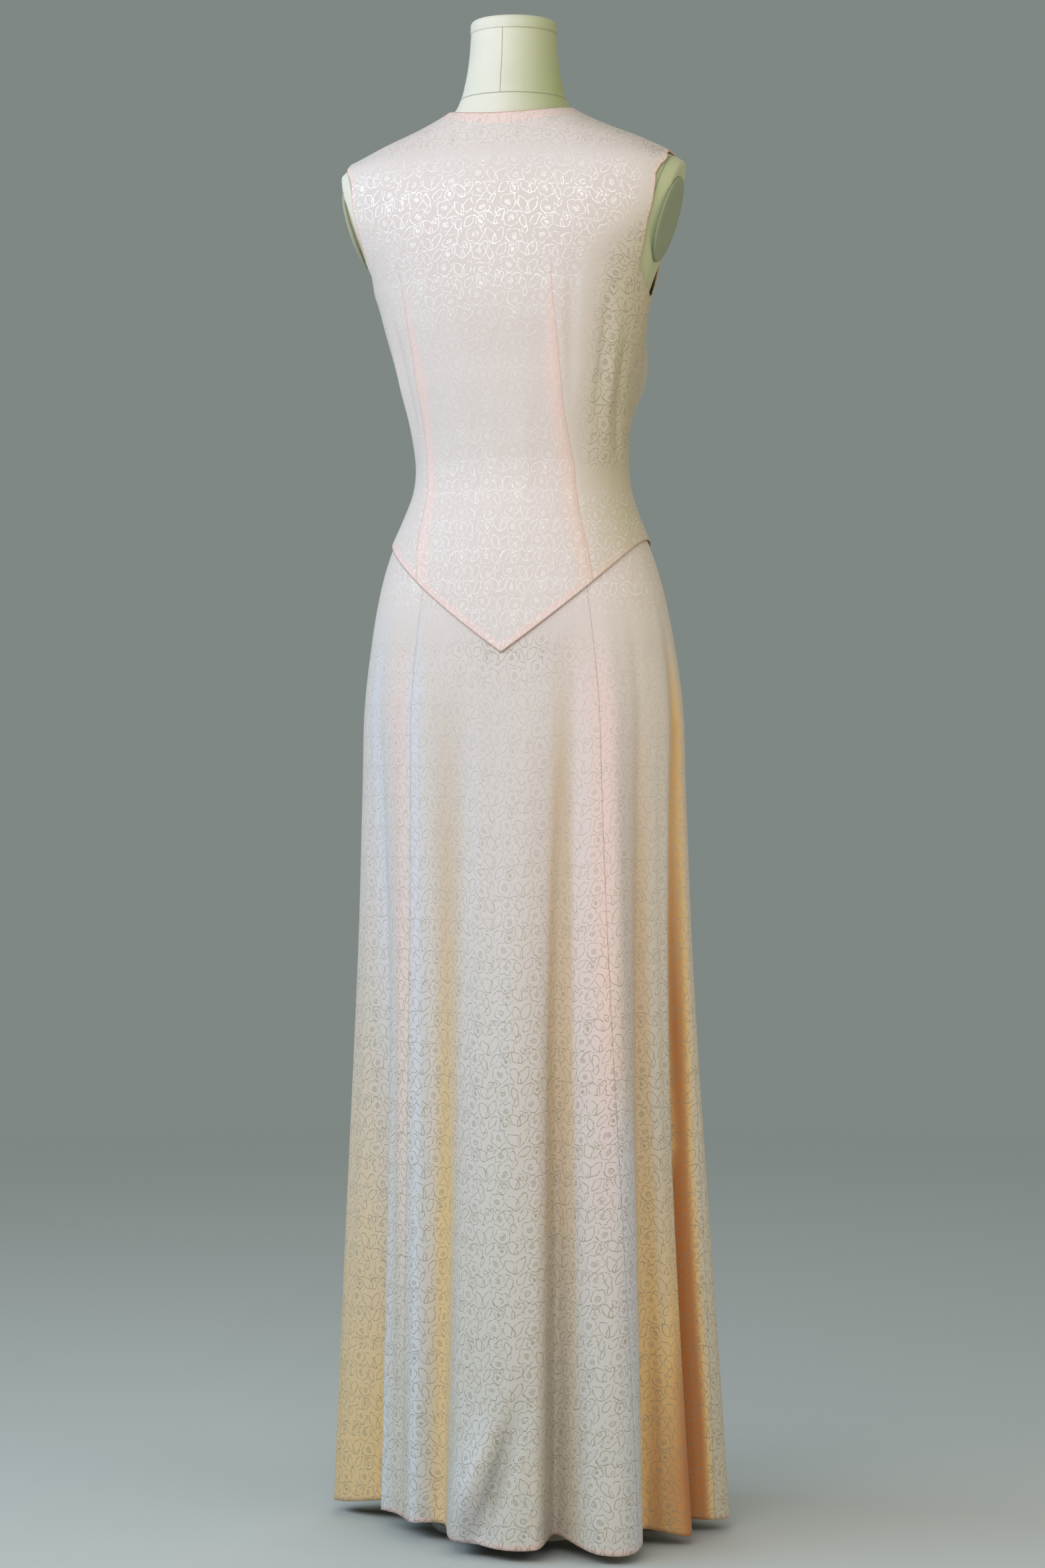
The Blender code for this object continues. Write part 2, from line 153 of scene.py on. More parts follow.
BODY_RINGS = (  # height, half width, centre line's y, depth behind it, depth in front
    (0.900, 0.1730, 0.005, 0.110, 0.109),
    (0.950, 0.1675, 0.007, 0.105, 0.107),
    (1.000, 0.1590, 0.010, 0.100, 0.103),
    (1.040, 0.1490, 0.012, 0.095, 0.098),
    (1.070, 0.1385, 0.012, 0.091, 0.094),
    (1.099, 0.1260, 0.010, 0.087, 0.091),
    (1.125, 0.1180, 0.007, 0.084, 0.089),
    (1.150, 0.1155, 0.007, 0.083, 0.088),
    (1.180, 0.1165, 0.013, 0.081, 0.091),
    (1.210, 0.1200, 0.021, 0.079, 0.094),
    (1.240, 0.1265, 0.029, 0.077, 0.097),
    (1.270, 0.1330, 0.035, 0.076, 0.098),
    (1.300, 0.1405, 0.040, 0.077, 0.098),
    (1.330, 0.1480, 0.043, 0.079, 0.097),
    (1.360, 0.1590, 0.045, 0.080, 0.095),
    (1.390, 0.1760, 0.047, 0.080, 0.090),
    (1.415, 0.1900, 0.048, 0.079, 0.084),
    (1.440, 0.1970, 0.048, 0.077, 0.079),
    (1.462, 0.1980, 0.048, 0.072, 0.070),
    (1.479, 0.1890, 0.047, 0.067, 0.062),
    (1.490, 0.1670, 0.046, 0.064, 0.056),
    (1.503, 0.1400, 0.044, 0.062, 0.051),
    (1.515, 0.1100, 0.043, 0.061, 0.050),
    (1.526, 0.0860, 0.042, 0.060, 0.050),
    (1.537, 0.0660, 0.042, 0.059, 0.051),
    (1.550, 0.0580, 0.042, 0.057, 0.050),
    (1.569, 0.0525, 0.042, 0.0535, 0.050),
    (1.591, 0.0488, 0.042, 0.049, 0.048),
    (1.622, 0.0462, 0.042, 0.0462, 0.0462),
)
FOOT_RINGS = (
    (0.790, 0.1450, 0.005, 0.090, 0.090),
    (0.810, 0.1600, 0.005, 0.099, 0.098),
    (0.850, 0.1700, 0.005, 0.107, 0.106),
)
FORM_INSETS = (  # height, how far the form lies inside the gown's lining surface
    (0.79, 0.0),
    (0.86, 0.0035),
    (1.30, 0.0035),
    (1.34, 0.0015),
    (1.50, 0.0015),
    (1.52, 0.0),
)
BUST_HEIGHT, BUST_HALF_SPACING, BUST_DEPTH = 1.262, 0.086, 0.050
BUST_SPREAD_X, BUST_SPREAD_Z = 0.054, 0.048
BUST_SIDE_SHARE, BUST_FRONT_GAIN = 0.22, 2.2
ARM_CUT_HEIGHT, ARM_CUT_HALF_WIDTH, ARM_CUT_SLOPE, ARM_CUT_FOOT = 1.46, 0.1862, 0.31, 1.34
FORM_COLUMNS, LOWER_ROWS, UPPER_ROWS, UPPER_ROWS_FOOT = 160, 60, 110, 1.320

# The second linen tone is painted shade: darker and yellow-green towards the wearer's right.
LINEN, LINEN_PAINTED_SHADE, SLUB = (0.81, 0.78, 0.68, 1), (0.36, 0.42, 0.15, 1), (0.36, 0.34, 0.22, 1)
SEAM_SHADOW = (0.20, 0.19, 0.12, 1)
LINEN_ROUGHNESS, LINEN_SPECULAR, LINEN_SHEEN, LINEN_RELIEF = 0.86, 0.25, 0.15, 0.45
NECK_Y, NAPE_Y, MASK_FULL, MASK_END = 0.042, 0.050, 0.35, 0.75
THREADS_ROUND, THREADS_UP = 420, 7000  # radians of wave per radian round, per metre up
THREAD_SHARE, SLUB_SCALE, BLOTCH_SCALE = 0.25, 1100, 22
WEAVE_SHARE, BLOTCH_SHARE, SLUB_TONE = 0.35, 0.65, (0.25, 0.85, 0.28, 0.0)
# Spans of the linen's painted shade: across towards the wearer's right, and stronger up the neck.
LINEN_SHADE_ACROSS, LINEN_SHADE_UP = (0.002, -0.056), (1.50, 1.56, 0.72, 1.0)
NECK_SEAM_HEIGHT, SEAM_WIDTH, NAPE_SEAM_WIDTH = 1.5505, 0.0011, 0.0009
ARM_SEAM_INSET, ARM_SEAM_FOOT, SEAM_TONE, SEAM_RELIEF = 0.013, 1.33, 0.6, 2.5


def curve_through(rows, heights):
    """Cubic curve through the rows (height, value, ...) of a table, at the heights."""
    table = np.array(rows, dtype=float)
    known, values = table[:, 0], table[:, 1:]
    at = np.clip(np.asarray(heights, dtype=float), known[0], known[-1])
    low = np.clip(np.searchsorted(known, at, side="right") - 1, 0, len(known) - 2)
    step = (known[low + 1] - known[low])[..., None]
    share = (at - known[low])[..., None] / step
    slopes = np.gradient(values, known, axis=0)
    start, rise = values[low], values[low + 1] - values[low]
    bend = (1 - share) * (step * slopes[low] - rise) + share * (rise - step * slopes[low + 1])
    return start + share * rise + share * (1 - share) * bend


def body_points(rings, angle, height):
    """Ring points, with a bust that swells by exp(-across^2 - up^2) out of the front."""
    half_width, centre_y, back, front = np.moveaxis(curve_through(rings, height), -1, 0)
    depth = np.where(np.cos(angle) >= 0, back, front)
    x = -half_width * np.sin(angle)
    y = centre_y + depth * np.cos(angle)
    across = (np.abs(x) - BUST_HALF_SPACING) / BUST_SPREAD_X
    up = (height - BUST_HEIGHT) / BUST_SPREAD_Z
    forward = np.clip(-np.cos(angle) * BUST_FRONT_GAIN, 0, 1)
    swell = BUST_DEPTH * np.exp(-across ** 2 - up ** 2) * forward
    x = x + np.sign(x) * BUST_SIDE_SHARE * swell
    return np.stack(np.broadcast_arrays(x, y - swell, height), axis=-1)


def moved_out(surface, angle, height, distance):
    """Points of a surface of angle and height, moved out along its unit normals."""
    step = 0.0005
    along = surface(angle + step, height) - surface(angle - step, height)
    up = surface(angle, height + step) - surface(angle, height - step)
    normal = np.cross(along, up)
    normal /= np.linalg.norm(normal, axis=-1, keepdims=True)
    return surface(angle, height) + normal * np.asarray(distance)[..., None]


def form_surface(angle, height):
    """The dress form's rings, from its foot to its neck."""
    return body_points(FOOT_RINGS + BODY_RINGS, angle, height)


def arm_cut(height):
    """Half width of the slanting flat cut at the arm ends."""
    return ARM_CUT_HALF_WIDTH + ARM_CUT_SLOPE * (height - ARM_CUT_HEIGHT)


def grid_mesh(name, points, wrap=False, ends=()):
    """A mesh from a grid of points, closed round its columns where wrap is true.
    ends lists the rows, first 0 and last -1, that a flat face closes."""
    rows, columns = points.shape[:2]
    number = np.arange(rows * columns).reshape(rows, columns)
    if wrap:
        number = np.concatenate([number, number[:, :1]], axis=1)
    corners = (number[:-1, :-1], number[:-1, 1:], number[1:, 1:], number[1:, :-1])
    faces = np.stack(corners, axis=-1).reshape(-1, 4).tolist()
    if 0 in ends:
        faces.append(number[0, -2::-1].tolist())
    if -1 in ends:
        faces.append(number[-1, :-1].tolist())
    mesh = bpy.data.meshes.new(name)
    mesh.from_pydata(points.reshape(-1, 3).tolist(), [], faces)
    mesh.shade_smooth()
    return mesh


def new_piece(name, mesh, finish, slot, *replaced):
    """An object with its finish that rides on the part and stands for its nodes."""
    piece = bpy.data.objects.new(name, mesh)
    bpy.context.scene.collection.objects.link(piece)
    mesh.materials.append(finish)
    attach(piece, "root")
    if replaced:
        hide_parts(*replaced)
    return piece


def line_mask(tree, distance, width):
    """1 on a line of that width and 0 off it, soft at its edges."""
    away = calc(tree, "ABSOLUTE", distance)
    return ramp(tree, away, width * MASK_FULL, width * MASK_END, 1.0, 0.0)


def split(tree, vector):
    """The three parts of a vector."""
    return [add_node(tree, "SeparateXYZ", vector, output=part) for part in range(3)]


def form_seams(tree, x, y, z):
    """1 on the seams: level round the neck's base, upright at the nape above it, and
    alongside the slanting cut at each arm end."""
    neck = line_mask(tree, minus(tree, z, NECK_SEAM_HEIGHT), SEAM_WIDTH)
    above = calc(tree, "GREATER_THAN", z, NECK_SEAM_HEIGHT)
    behind = calc(tree, "GREATER_THAN", y, NAPE_Y)
    nape = times(tree, above, behind)
    nape = times(tree, line_mask(tree, x, NAPE_SEAM_WIDTH), nape)
    half_width = times(tree, z, ARM_CUT_SLOPE, arm_cut(0) - ARM_SEAM_INSET)
    from_cut = minus(tree, calc(tree, "ABSOLUTE", x), half_width)
    arm = line_mask(tree, from_cut, SEAM_WIDTH)
    arm = times(tree, arm, calc(tree, "GREATER_THAN", z, ARM_SEAM_FOOT))
    return calc(tree, "MAXIMUM", neck, calc(tree, "MAXIMUM", nape, arm))


def linen_finish(name, light, shade_tone, seams):
    """Plain linen: two crossed sine waves for its threads, slubs and soft blotches, with
    painted shade that turns it darker and yellow-green towards the wearer's right and
    upwards. With seams, each is a fine dark groove."""
    finish, tree, shader = new_finish(name, LINEN_ROUGHNESS, LINEN_SPECULAR, LINEN_SHEEN)
    place = own_place(tree)
    x, y, z = split(tree, place)
    turn = calc(tree, "ARCTAN2", x, minus(tree, y, NECK_Y))
    warp = calc(tree, "SINE", times(tree, turn, THREADS_ROUND))
    weft = calc(tree, "SINE", times(tree, z, THREADS_UP))
    threads = calc(tree, "ADD", warp, weft)
    weave = times(tree, threads, THREAD_SHARE, noise(tree, place, SLUB_SCALE, 3))
    blotch = times(tree, noise(tree, place, BLOTCH_SCALE, 4), BLOTCH_SHARE)
    tone = times(tree, weave, WEAVE_SHARE, blotch)
    # Painted shade: darker and yellow-green towards the wearer's right and up the neck.
    linen_shade = times(tree, ramp(tree, x, *LINEN_SHADE_ACROSS), ramp(tree, z, *LINEN_SHADE_UP))
    colour = tint(tree, linen_shade, light, shade_tone)
    colour = tint(tree, ramp(tree, tone, *SLUB_TONE), colour, SLUB)
    height = weave
    if seams:
        seam = form_seams(tree, x, y, z)
        colour = tint(tree, times(tree, seam, SEAM_TONE), colour, SEAM_SHADOW)
        height = times(tree, seam, -SEAM_RELIEF, weave)
    tree.links.new(colour, shader.inputs["Base Color"])
    raise_grain(tree, shader, height, LINEN_RELIEF)
    return finish


linen = linen_finish("form_linen", LINEN, LINEN_PAINTED_SHADE, True)
lower_rows = np.linspace(FOOT_RINGS[0][0], UPPER_ROWS_FOOT, LOWER_ROWS, endpoint=False)
upper_rows = np.linspace(UPPER_ROWS_FOOT, BODY_RINGS[-1][0], UPPER_ROWS)
rises = np.concatenate([lower_rows, upper_rows])[:, None]
turns = np.linspace(0, 2 * np.pi, FORM_COLUMNS, endpoint=False)[None, :]
turns, rises = np.broadcast_arrays(turns, rises)
inset = np.interp(rises, *np.array(FORM_INSETS).T)
torso = moved_out(form_surface, turns, rises, -inset)
limit = np.where(rises >= ARM_CUT_FOOT, arm_cut(rises), np.inf)
torso[..., 0] = np.clip(torso[..., 0], -limit, limit)
new_piece("form_linen_torso", grid_mesh("form_linen_torso", torso, True, (0, -1)),
          linen, "form_linen", "form_torso")


# ------------------------------------------------------------
# Neck cap. A round wooden cap covered with the same linen, let in at the top of the
# neck: a straight side, a rounded upper edge and a slightly domed top.

CAP_FOOT, CAP_HEIGHT, CAP_RADIUS, CAP_ROUNDING, CAP_DOME = 1.6223, 0.015, 0.0468, 0.006, 0.001
CAP_CHAMFER, CAP_COLUMNS = (0.0003, 0.0008), 96
CAP_TOP = ((0.030, 0.0006), (0.015, 0.0002), (0.003, 0.0))  # radius, drop below the middle


def turned_points(profile, centre_y, foot, columns):
    """A profile of (radius, height) rows from the foot up, carried round the axis."""
    radius, height = np.array(profile).T[:, :, None]
    turn = np.linspace(0, 2 * np.pi, columns, endpoint=False)[None, :]
    x, y = -radius * np.sin(turn), centre_y + radius * np.cos(turn)
    return np.stack(np.broadcast_arrays(x, y, foot + height), axis=-1)


shoulder = CAP_HEIGHT - CAP_DOME - CAP_ROUNDING
profile = [(CAP_RADIUS - CAP_CHAMFER[0], 0.0), (CAP_RADIUS, CAP_CHAMFER[1])]
for turn in np.radians(np.linspace(90, 0, 9)):
    out, up = CAP_ROUNDING * math.sin(turn), CAP_ROUNDING * math.cos(turn)
    profile.append((CAP_RADIUS - CAP_ROUNDING + out, shoulder + up))
profile += [(radius, CAP_HEIGHT - drop) for radius, drop in CAP_TOP]
cap_linen = linen_finish("cap_linen", LINEN, LINEN_PAINTED_SHADE, False)
cap = turned_points(profile, BODY_RINGS[-1][2], CAP_FOOT, CAP_COLUMNS)
new_piece("form_linen_cap", grid_mesh("form_linen_cap", cap, True, (0, -1)),
          cap_linen, "form_linen", "form_neck_cap")


# ------------------------------------------------------------
# Arm plates. A flat oval board under linen on each slanting arm end, with a softly
# rounded rim. The linen is painted darker than the torso's as shade, and darker and
# yellow-green still at the wearer's right.

PLATE_HALF_HEIGHT, PLATE_HALF_DEPTH, PLATE_THICKNESS = 0.047, 0.036, 0.003
PLATE_Y, PLATE_Z, SEAT_GAP, PLATE_COLUMNS = 0.050, 1.415, 0.0003, 72
PLATE_PROFILE = (  # share of the oval's radius, share of the thickness
    (1.0, 0.0), (1.0, 0.5), (0.985, 0.85), (0.95, 1.0), (0.6, 1.05), (0.1, 1.08))
# Both plate tones are painted shade: darker than the torso's linen, and darker and yellow-green
# at the wearer's right.
PLATE_LINEN, PLATE_LINEN_PAINTED_SHADE = (0.36, 0.38, 0.28, 1), (0.19, 0.24, 0.11, 1)

plate_linen = linen_finish("plate_linen", PLATE_LINEN, PLATE_LINEN_PAINTED_SHADE, False)
tilt = math.atan(ARM_CUT_SLOPE)
for name, side in (("left", 1), ("right", -1)):
    share, lift = np.array(PLATE_PROFILE).T[:, :, None]
    turn = np.linspace(0, 2 * np.pi, PLATE_COLUMNS, endpoint=False)[None, :] * side
    along = PLATE_HALF_HEIGHT * share * np.cos(turn)
    out = SEAT_GAP + PLATE_THICKNESS * np.broadcast_to(lift, along.shape)
    x = arm_cut(PLATE_Z) + along * math.sin(tilt) + out * math.cos(tilt)
    y = PLATE_Y + PLATE_HALF_DEPTH * share * np.sin(turn)
    z = PLATE_Z + along * math.cos(tilt) - out * math.sin(tilt)
    plate = np.stack([side * x, y, z], axis=-1)
    mesh = grid_mesh("form_linen_plate_" + name, plate, True, (0, -1))
    new_piece("form_linen_plate_" + name, mesh, plate_linen,
              "form_plate", "form_arm_plate_" + name)


# ------------------------------------------------------------
# Skirt. Six long gores of satin crepe, cut narrow at the hip and wide at the hem,
# sewn edge to edge. Below the hips they hang free in soft flutes, and a narrow hem
# is turned up and stitched. The pattern of outlined flowers is woven in.

SKIRT_RINGS = (  # height, half width, centre line's y, depth behind it, depth in front
    (0.000, 0.2010, -0.004, 0.196, 0.186),
    (0.200, 0.1930, -0.003, 0.176, 0.168),
    (0.350, 0.1870, -0.001, 0.161, 0.153),
    (0.500, 0.1810, 0.001, 0.147, 0.140),
    (0.650, 0.1765, 0.002, 0.132, 0.127),
    (0.800, 0.1745, 0.004, 0.118, 0.116),
)
SKIRT_FOLDS = (  # angle at its start, at the hem, depth at the hem, half width, start height
    (-86, -97, 0.024, 14, 0.96),
    (-52, -74, -0.040, 15, 0.99),
    (-40, -48, -0.048, 48, 0.90),
    (-18, -20, -0.034, 15, 0.93),
    (5, 13, 0.026, 19, 0.90),
    (24, 25, -0.050, 8, 0.97),
    (41, 38, 0.052, 18, 0.98),
    (57, 57, -0.020, 9, 0.92),
    (71, 69, 0.030, 10, 0.96),
    (78, 81, -0.024, 9, 0.98),
    (90, 98, 0.022, 16, 0.98),
    (112, 113, -0.026, 13, 0.95),
    (128, 127, 0.024, 14, 0.93),
    (152, 150, -0.030, 14, 0.94),
    (178, 176, 0.022, 17, 0.90),
    (206, 205, -0.030, 14, 0.94),
    (230, 231, 0.026, 14, 0.93),
    (246, 247, -0.022, 12, 0.95),
)
SKIRT_CREASES = (  # angle, foot, top, depth, half width, lean in degrees per metre
    (-66, 0.20, 1.00, -0.0034, 4.0, -14),
    (-50, 0.10, 0.99, 0.0038, 4.5, -14),
    (-38, 0.05, 0.98, 0.0030, 3.2, -9),
    (-28, 0.20, 0.97, -0.0042, 4.0, 0),
    (-9, 0.45, 0.93, -0.0020, 3.0, 2),
    (1, 0.35, 0.92, -0.0022, 3.0, 4),
    (17, 0.30, 0.96, -0.0040, 4.0, 3),
    (30, 0.50, 1.00, -0.0028, 3.0, 0),
    (44, 0.30, 1.02, 0.0042, 4.0, 0),
    (56, 0.25, 1.03, -0.0030, 3.0, 2),
    (75, 0.40, 1.04, 0.0024, 3.5, -4),
    (70, -0.40, 0.92, -0.0200, 6.0, 0),
    (25, -0.30, 0.80, 0.0110, 6.0, 0),
    (82, -0.90, 1.00, -0.0130, 3.4, 3),
    (120, 0.30, 1.00, -0.0022, 4.0, 2),
    (140, 0.40, 0.99, 0.0018, 4.0, 3),
    (166, 0.35, 0.96, -0.0014, 3.5, -2),
    (190, 0.30, 0.96, -0.0016, 3.5, 2),
    (218, 0.35, 0.99, 0.0020, 4.0, -2),
    (240, 0.30, 1.00, -0.0024, 4.0, 3),
)
HEM_PUCKERS = (  # angle, height, half width, half height, depth, lean of its axis
    (-2, 0.070, 6.5, 0.050, 0.0240, 0.4),
    (6, 0.080, 3.4, 0.060, -0.0210, 1.4),
    (-27, 0.030, 2.2, 0.030, -0.0030, -1.6),
    (-24, 0.034, 2.4, 0.030, 0.0026, -1.6),
    (-44, 0.120, 2.6, 0.045, -0.0030, 0.4),
    (33, 0.030, 5.0, 0.040, 0.0030, 0.3),
    (62, 0.050, 3.0, 0.050, -0.0030, 0.6),
    (86, 0.080, 2.5, 0.090, 0.0035, 0.4),
    (150, 0.035, 6.0, 0.045, 0.0040, -0.4),
    (205, 0.040, 5.0, 0.050, -0.0040, 0.5),
)
# Painted pink highlights on the light side of some flutes.
PINK_HIGHLIGHT_BANDS = (  # angle, half width, share of the tone, height where it starts, its fade
    (39, 5.5, 0.60, 1.00, 0.10),
    (30, 4.0, 0.25, 1.00, 0.10),
    (-42, 5.0, 0.42, 1.00, 0.10),
)
# Painted bluish highlights on ridges.
COOL_HIGHLIGHT_BANDS = (  # these and the next two have the same columns
    (-33, 3.0, 0.40, 1.01, 0.10),
    (-60, 7.0, 0.35, 1.01, 0.10),
    (-1, 6.0, 0.30, 0.18, 0.10),
    (45, 6.0, 0.45, 0.51, 0.10),
)
# Painted warm shade in hollows and at the foot of the deep fold.
WARM_SHADE_BANDS = (
    (-20, 7.0, 0.35, 0.95, 0.20),
    (68, 10.0, 1.10, 0.45, 0.28),
)
PALE_BANDS = ((25, 8.0, 0.65, 0.50, 0.30),)  # these take the painted warm shade away
# The woven lines' painted shadow under the bodice's point: its share and two bells.
DARK_POINT, DARK_POINT_ROUND, DARK_POINT_UP = 0.40, (5, 18), (0.955, 0.030)  # share, bells

# A span is where a change starts and how far on it is full: in degrees round the back,
# in metres up or, for the left panel's rise, in shares of a gore's length.
HOLLOW_REACH, HOLLOW_DEPTH = 8, 0.021
# Painted warm shade: its share in hollows, less of it on the left, and more low on the left
# panel.
WARM_AT_HEM, WARM_AT_TOP = 0.4505, 0.8075
LEFT_KEEPS, LEFT_SPAN = 0.25, (-48, 10)
LEFT_PANEL_TONE, LEFT_PANEL_SPAN, LEFT_PANEL_END, LEFT_PANEL_RISE = (
    0.85, (-62, -14), (-150, 40), (0.6875, -0.625))
# Painted rust shade in the deep fold at the wearer's right, and painted olive shade on that side.
SIDE_FOLD_ANGLE, SIDE_FOLD_LEAN, SIDE_FOLD_SPAN = 88.0, 5.4, (0.97, -0.10)
SIDE_FOLD_WIDTH, SIDE_FOLD_WIDER, SIDE_FOLD_WIDER_SPAN = 1.6, 3.5, (0.40, 0.50)
SIDE_FOLD_FOOT, SIDE_FOLD_FOOT_SPAN = 19.6, (0.42, -0.35)
SIDE_FOLD_TONE, SIDE_FOLD_LOSS, SIDE_FOLD_LOSS_SPAN = 1.9, 0.7, (0.55, 0.20)
SIDE_SHADE, SIDE_SHADE_SPAN, FRONT_SPAN = 0.5, (40, 35), (170, -70)
# The woven lines are painted darker as shade on the skirt, and shown pale, as a painted
# highlight, by the next line's shares.
DEEP_SPAN, DEEP_LEAST, DEEP_FULL_SPAN = (1.02, -0.07), 0.60, (0.92, -0.42)
GLOSS_AT_HEM, GLOSS_AT_TOP, PINK_FOOT_SPAN = 0.9, 0.7, (0.20, 0.40)

FORM_CLEARANCE, WALL_MIDDLE, CLOTH = 0.0013, 0.001, 0.0013
SEAM_GAP, RADIUS_AT_HEM, RADIUS_AT_TOP = 0.0001, 0.20, 0.11
POINT_HEIGHT, SIDE_SEAM_FOOT, LAP_LENGTH = 0.950, 1.072, 0.012
HEM_HEIGHT, HEM_LIFT, GOWN_TURN = 0.016, 0.20, 2.0
SEAM_TOP, SEAM_HEM = 0.39, 0.48
HEM_TURNING, HEM_STITCH = 0.0055, 0.0042
SKIRT_ROWS = 200

FLOWERS = (  # set of rows, x and y in its cell, radius, petals, turn; in millimetres
    (0, -22.0, 2.0, 9.4, 5, 0.3),
    (0, 21.5, -2.0, 9.0, 5, 1.0),
    (1, 17.5, 0.5, 8.6, 6, 0.7),
    (1, -16.0, -0.5, 5.6, 5, 0.5),
)
LEAVES = (  # set of rows, x and y of its middle, half length, half width, turn
    (0, -4.8, -1.0, 10.0, 4.8, 2.16),
    (0, 4.4, -1.0, 10.0, 4.8, 0.98),
    (0, -33.2, -8.6, 4.8, 2.4, 2.30),
    (0, 33.4, 5.6, 5.0, 2.4, 1.20),
    (1, -4.0, 2.0, 9.2, 4.4, 2.20),
    (1, 4.4, 2.0, 9.2, 4.4, 0.94),
    (1, -29.5, 1.0, 7.6, 3.8, 0.90),
    (1, 31.0, -1.5, 7.0, 3.4, 1.90),
)
STEMS = (  # set of rows, x and y of its circle's middle, radius, side it keeps, lean
    (0, -11.5, -15.5, 8.0, 1, -0.2),
    (0, 11.5, -17.5, 8.0, 1, 0.2),
    (1, -16.0, 16.0, 8.0, -1, 0.3),
)
REPEAT_WIDTH, REPEAT_ROW = 73.0, 33.0
WANDER, WANDER_SCALE, BREAK_SCALE, BREAK_SPAN = 3.4, 0.075, 0.26, (0.34, 0.46)
LINE_CORE, LINE_EDGE = 0.24, 0.58
RIM_LEAST, PETAL_POWER, RING_SHARES = 0.70, 0.6, (0.30, 0.12)
STEM_SHARE, FAR_OFF = 0.45, 9


def nearest(tree, distances):
    """The least of several distances."""
    least = distances[0]
    for distance in distances[1:]:
        least = calc(tree, "MINIMUM", least, distance)
    return least


def length_of(tree, x, y):
    """The root of x squared and y squared together."""
    squared = times(tree, x, x, times(tree, y, y))
    return calc(tree, "SQRT", squared)


def off_line(tree, reach, radius):
    """How far a reach from a middle is from the radius of the line round it."""
    return calc(tree, "ABSOLUTE", minus(tree, reach, radius))


def flower_distances(tree, across, up, flower):
    """Distances to a scalloped rim and two rings in the middle: the rim's radius is
    R (0.70 + 0.30 |cos(n t / 2)|^0.6) for n petals."""
    x0, y0, radius, petals, turn = flower
    x, y = minus(tree, across, x0), minus(tree, up, y0)
    reach = length_of(tree, x, y)
    angle = times(tree, calc(tree, "ARCTAN2", y, x), petals / 2, turn)
    petal = calc(tree, "ABSOLUTE", calc(tree, "COSINE", angle))
    scallop = calc(tree, "POWER", petal, PETAL_POWER)
    rim = times(tree, scallop, (1 - RIM_LEAST) * radius, RIM_LEAST * radius)
    rings = [off_line(tree, reach, share * radius) for share in RING_SHARES]
    return [off_line(tree, reach, rim), *rings]


def leaf_distances(tree, across, up, leaf):
    """Distance to a pointed oval, where two circles of one size cross each other."""
    x0, y0, length, width, turn = leaf
    circle = (length ** 2 + width ** 2) / (2 * width)
    x, y = minus(tree, across, x0), minus(tree, up, y0)
    cosine, sine = math.cos(turn), math.sin(turn)
    along = times(tree, x, cosine, times(tree, y, sine))
    side = times(tree, y, cosine, times(tree, x, -sine))
    side = calc(tree, "ADD", calc(tree, "ABSOLUTE", side), circle - width)
    return [off_line(tree, length_of(tree, along, side), circle)]


def stem_distances(tree, across, up, stem):
    """Distance to the arc of a circle on one side of a leaning line."""
    x0, y0, radius, keep, lean = stem
    x, y = minus(tree, across, x0), minus(tree, up, y0)
    line = times(tree, times(tree, x, lean, y), keep)
    off = calc(tree, "LESS_THAN", line, STEM_SHARE * radius)
    away = off_line(tree, length_of(tree, x, y), radius)
    return [times(tree, off, FAR_OFF, away)]


def flower_lines(tree, across, up):
    """1 on the woven outlines. Two sets of rows lie half a row apart, and in each set
    every other row is moved half a repeat. The lines wander a little and break."""
    place = add_node(tree, "CombineXYZ", across, up, 0.0)
    wide, high, _ = split(tree, noise(tree, place, WANDER_SCALE, 1, output=1))
    across = times(tree, wide, 2 * WANDER, across)
    up = times(tree, high, 2 * WANDER, up)
    distances = []
    for rows in (0, 1):
        level = minus(tree, up, rows * REPEAT_ROW / 2)
        row = calc(tree, "FLOOR", calc(tree, "DIVIDE", level, REPEAT_ROW))
        odd = calc(tree, "FLOORED_MODULO", row, 2)
        moved = times(tree, odd, REPEAT_WIDTH / 2, across)
        x = calc(tree, "WRAP", moved, REPEAT_WIDTH / 2, -REPEAT_WIDTH / 2)
        y = minus(tree, calc(tree, "WRAP", level, REPEAT_ROW, 0), REPEAT_ROW / 2)
        for motifs, distances_to in (
                (FLOWERS, flower_distances), (LEAVES, leaf_distances), (STEMS, stem_distances)):
            for motif in motifs:
                if motif[0] == rows:
                    distances += distances_to(tree, x, y, motif[1:])
    line = ramp(tree, nearest(tree, distances), LINE_CORE, LINE_EDGE, 1.0, 0.0)
    whole = ramp(tree, noise(tree, place, BREAK_SCALE, 1), *BREAK_SPAN)
    return times(tree, line, whole)


GROUND = (0.71, 0.625, 0.597, 1)
GROUND_DEEP = (0.69, 0.60, 0.565, 1)
# The next two ground tones are painted shade, darker and greyer towards the hem.
GROUND_MID_SHADE = (0.655, 0.59, 0.565, 1)
GROUND_LOW_SHADE = (0.52, 0.505, 0.45, 1)
SHADE = (0.47, 0.41, 0.24, 1)
# The woven lines' pale tone is partly their own colour and gloss, partly a painted highlight; the
# next tone is painted shade on them.
LINES = (0.90, 0.85, 0.83, 1)
LINES_SHADED = (0.27, 0.235, 0.16, 1)
# Pink of cloth lying double at turned edges and darts, and a painted pink highlight on some
# flutes.
DOUBLED_AND_HIGHLIGHT = (0.86, 0.58, 0.52, 1)
CREVICE = (0.60, 0.53, 0.485, 1)
# Painted ochre shade in hollows, and the richer one used lower down and on the shaded side.
VALLEY_SHADE = (0.57, 0.41, 0.25, 1)
VALLEY_LOW_SHADE = (0.66, 0.45, 0.20, 1)
# Painted bluish highlight on ridges.
COOL_HIGHLIGHT = (0.58, 0.65, 0.80, 1)
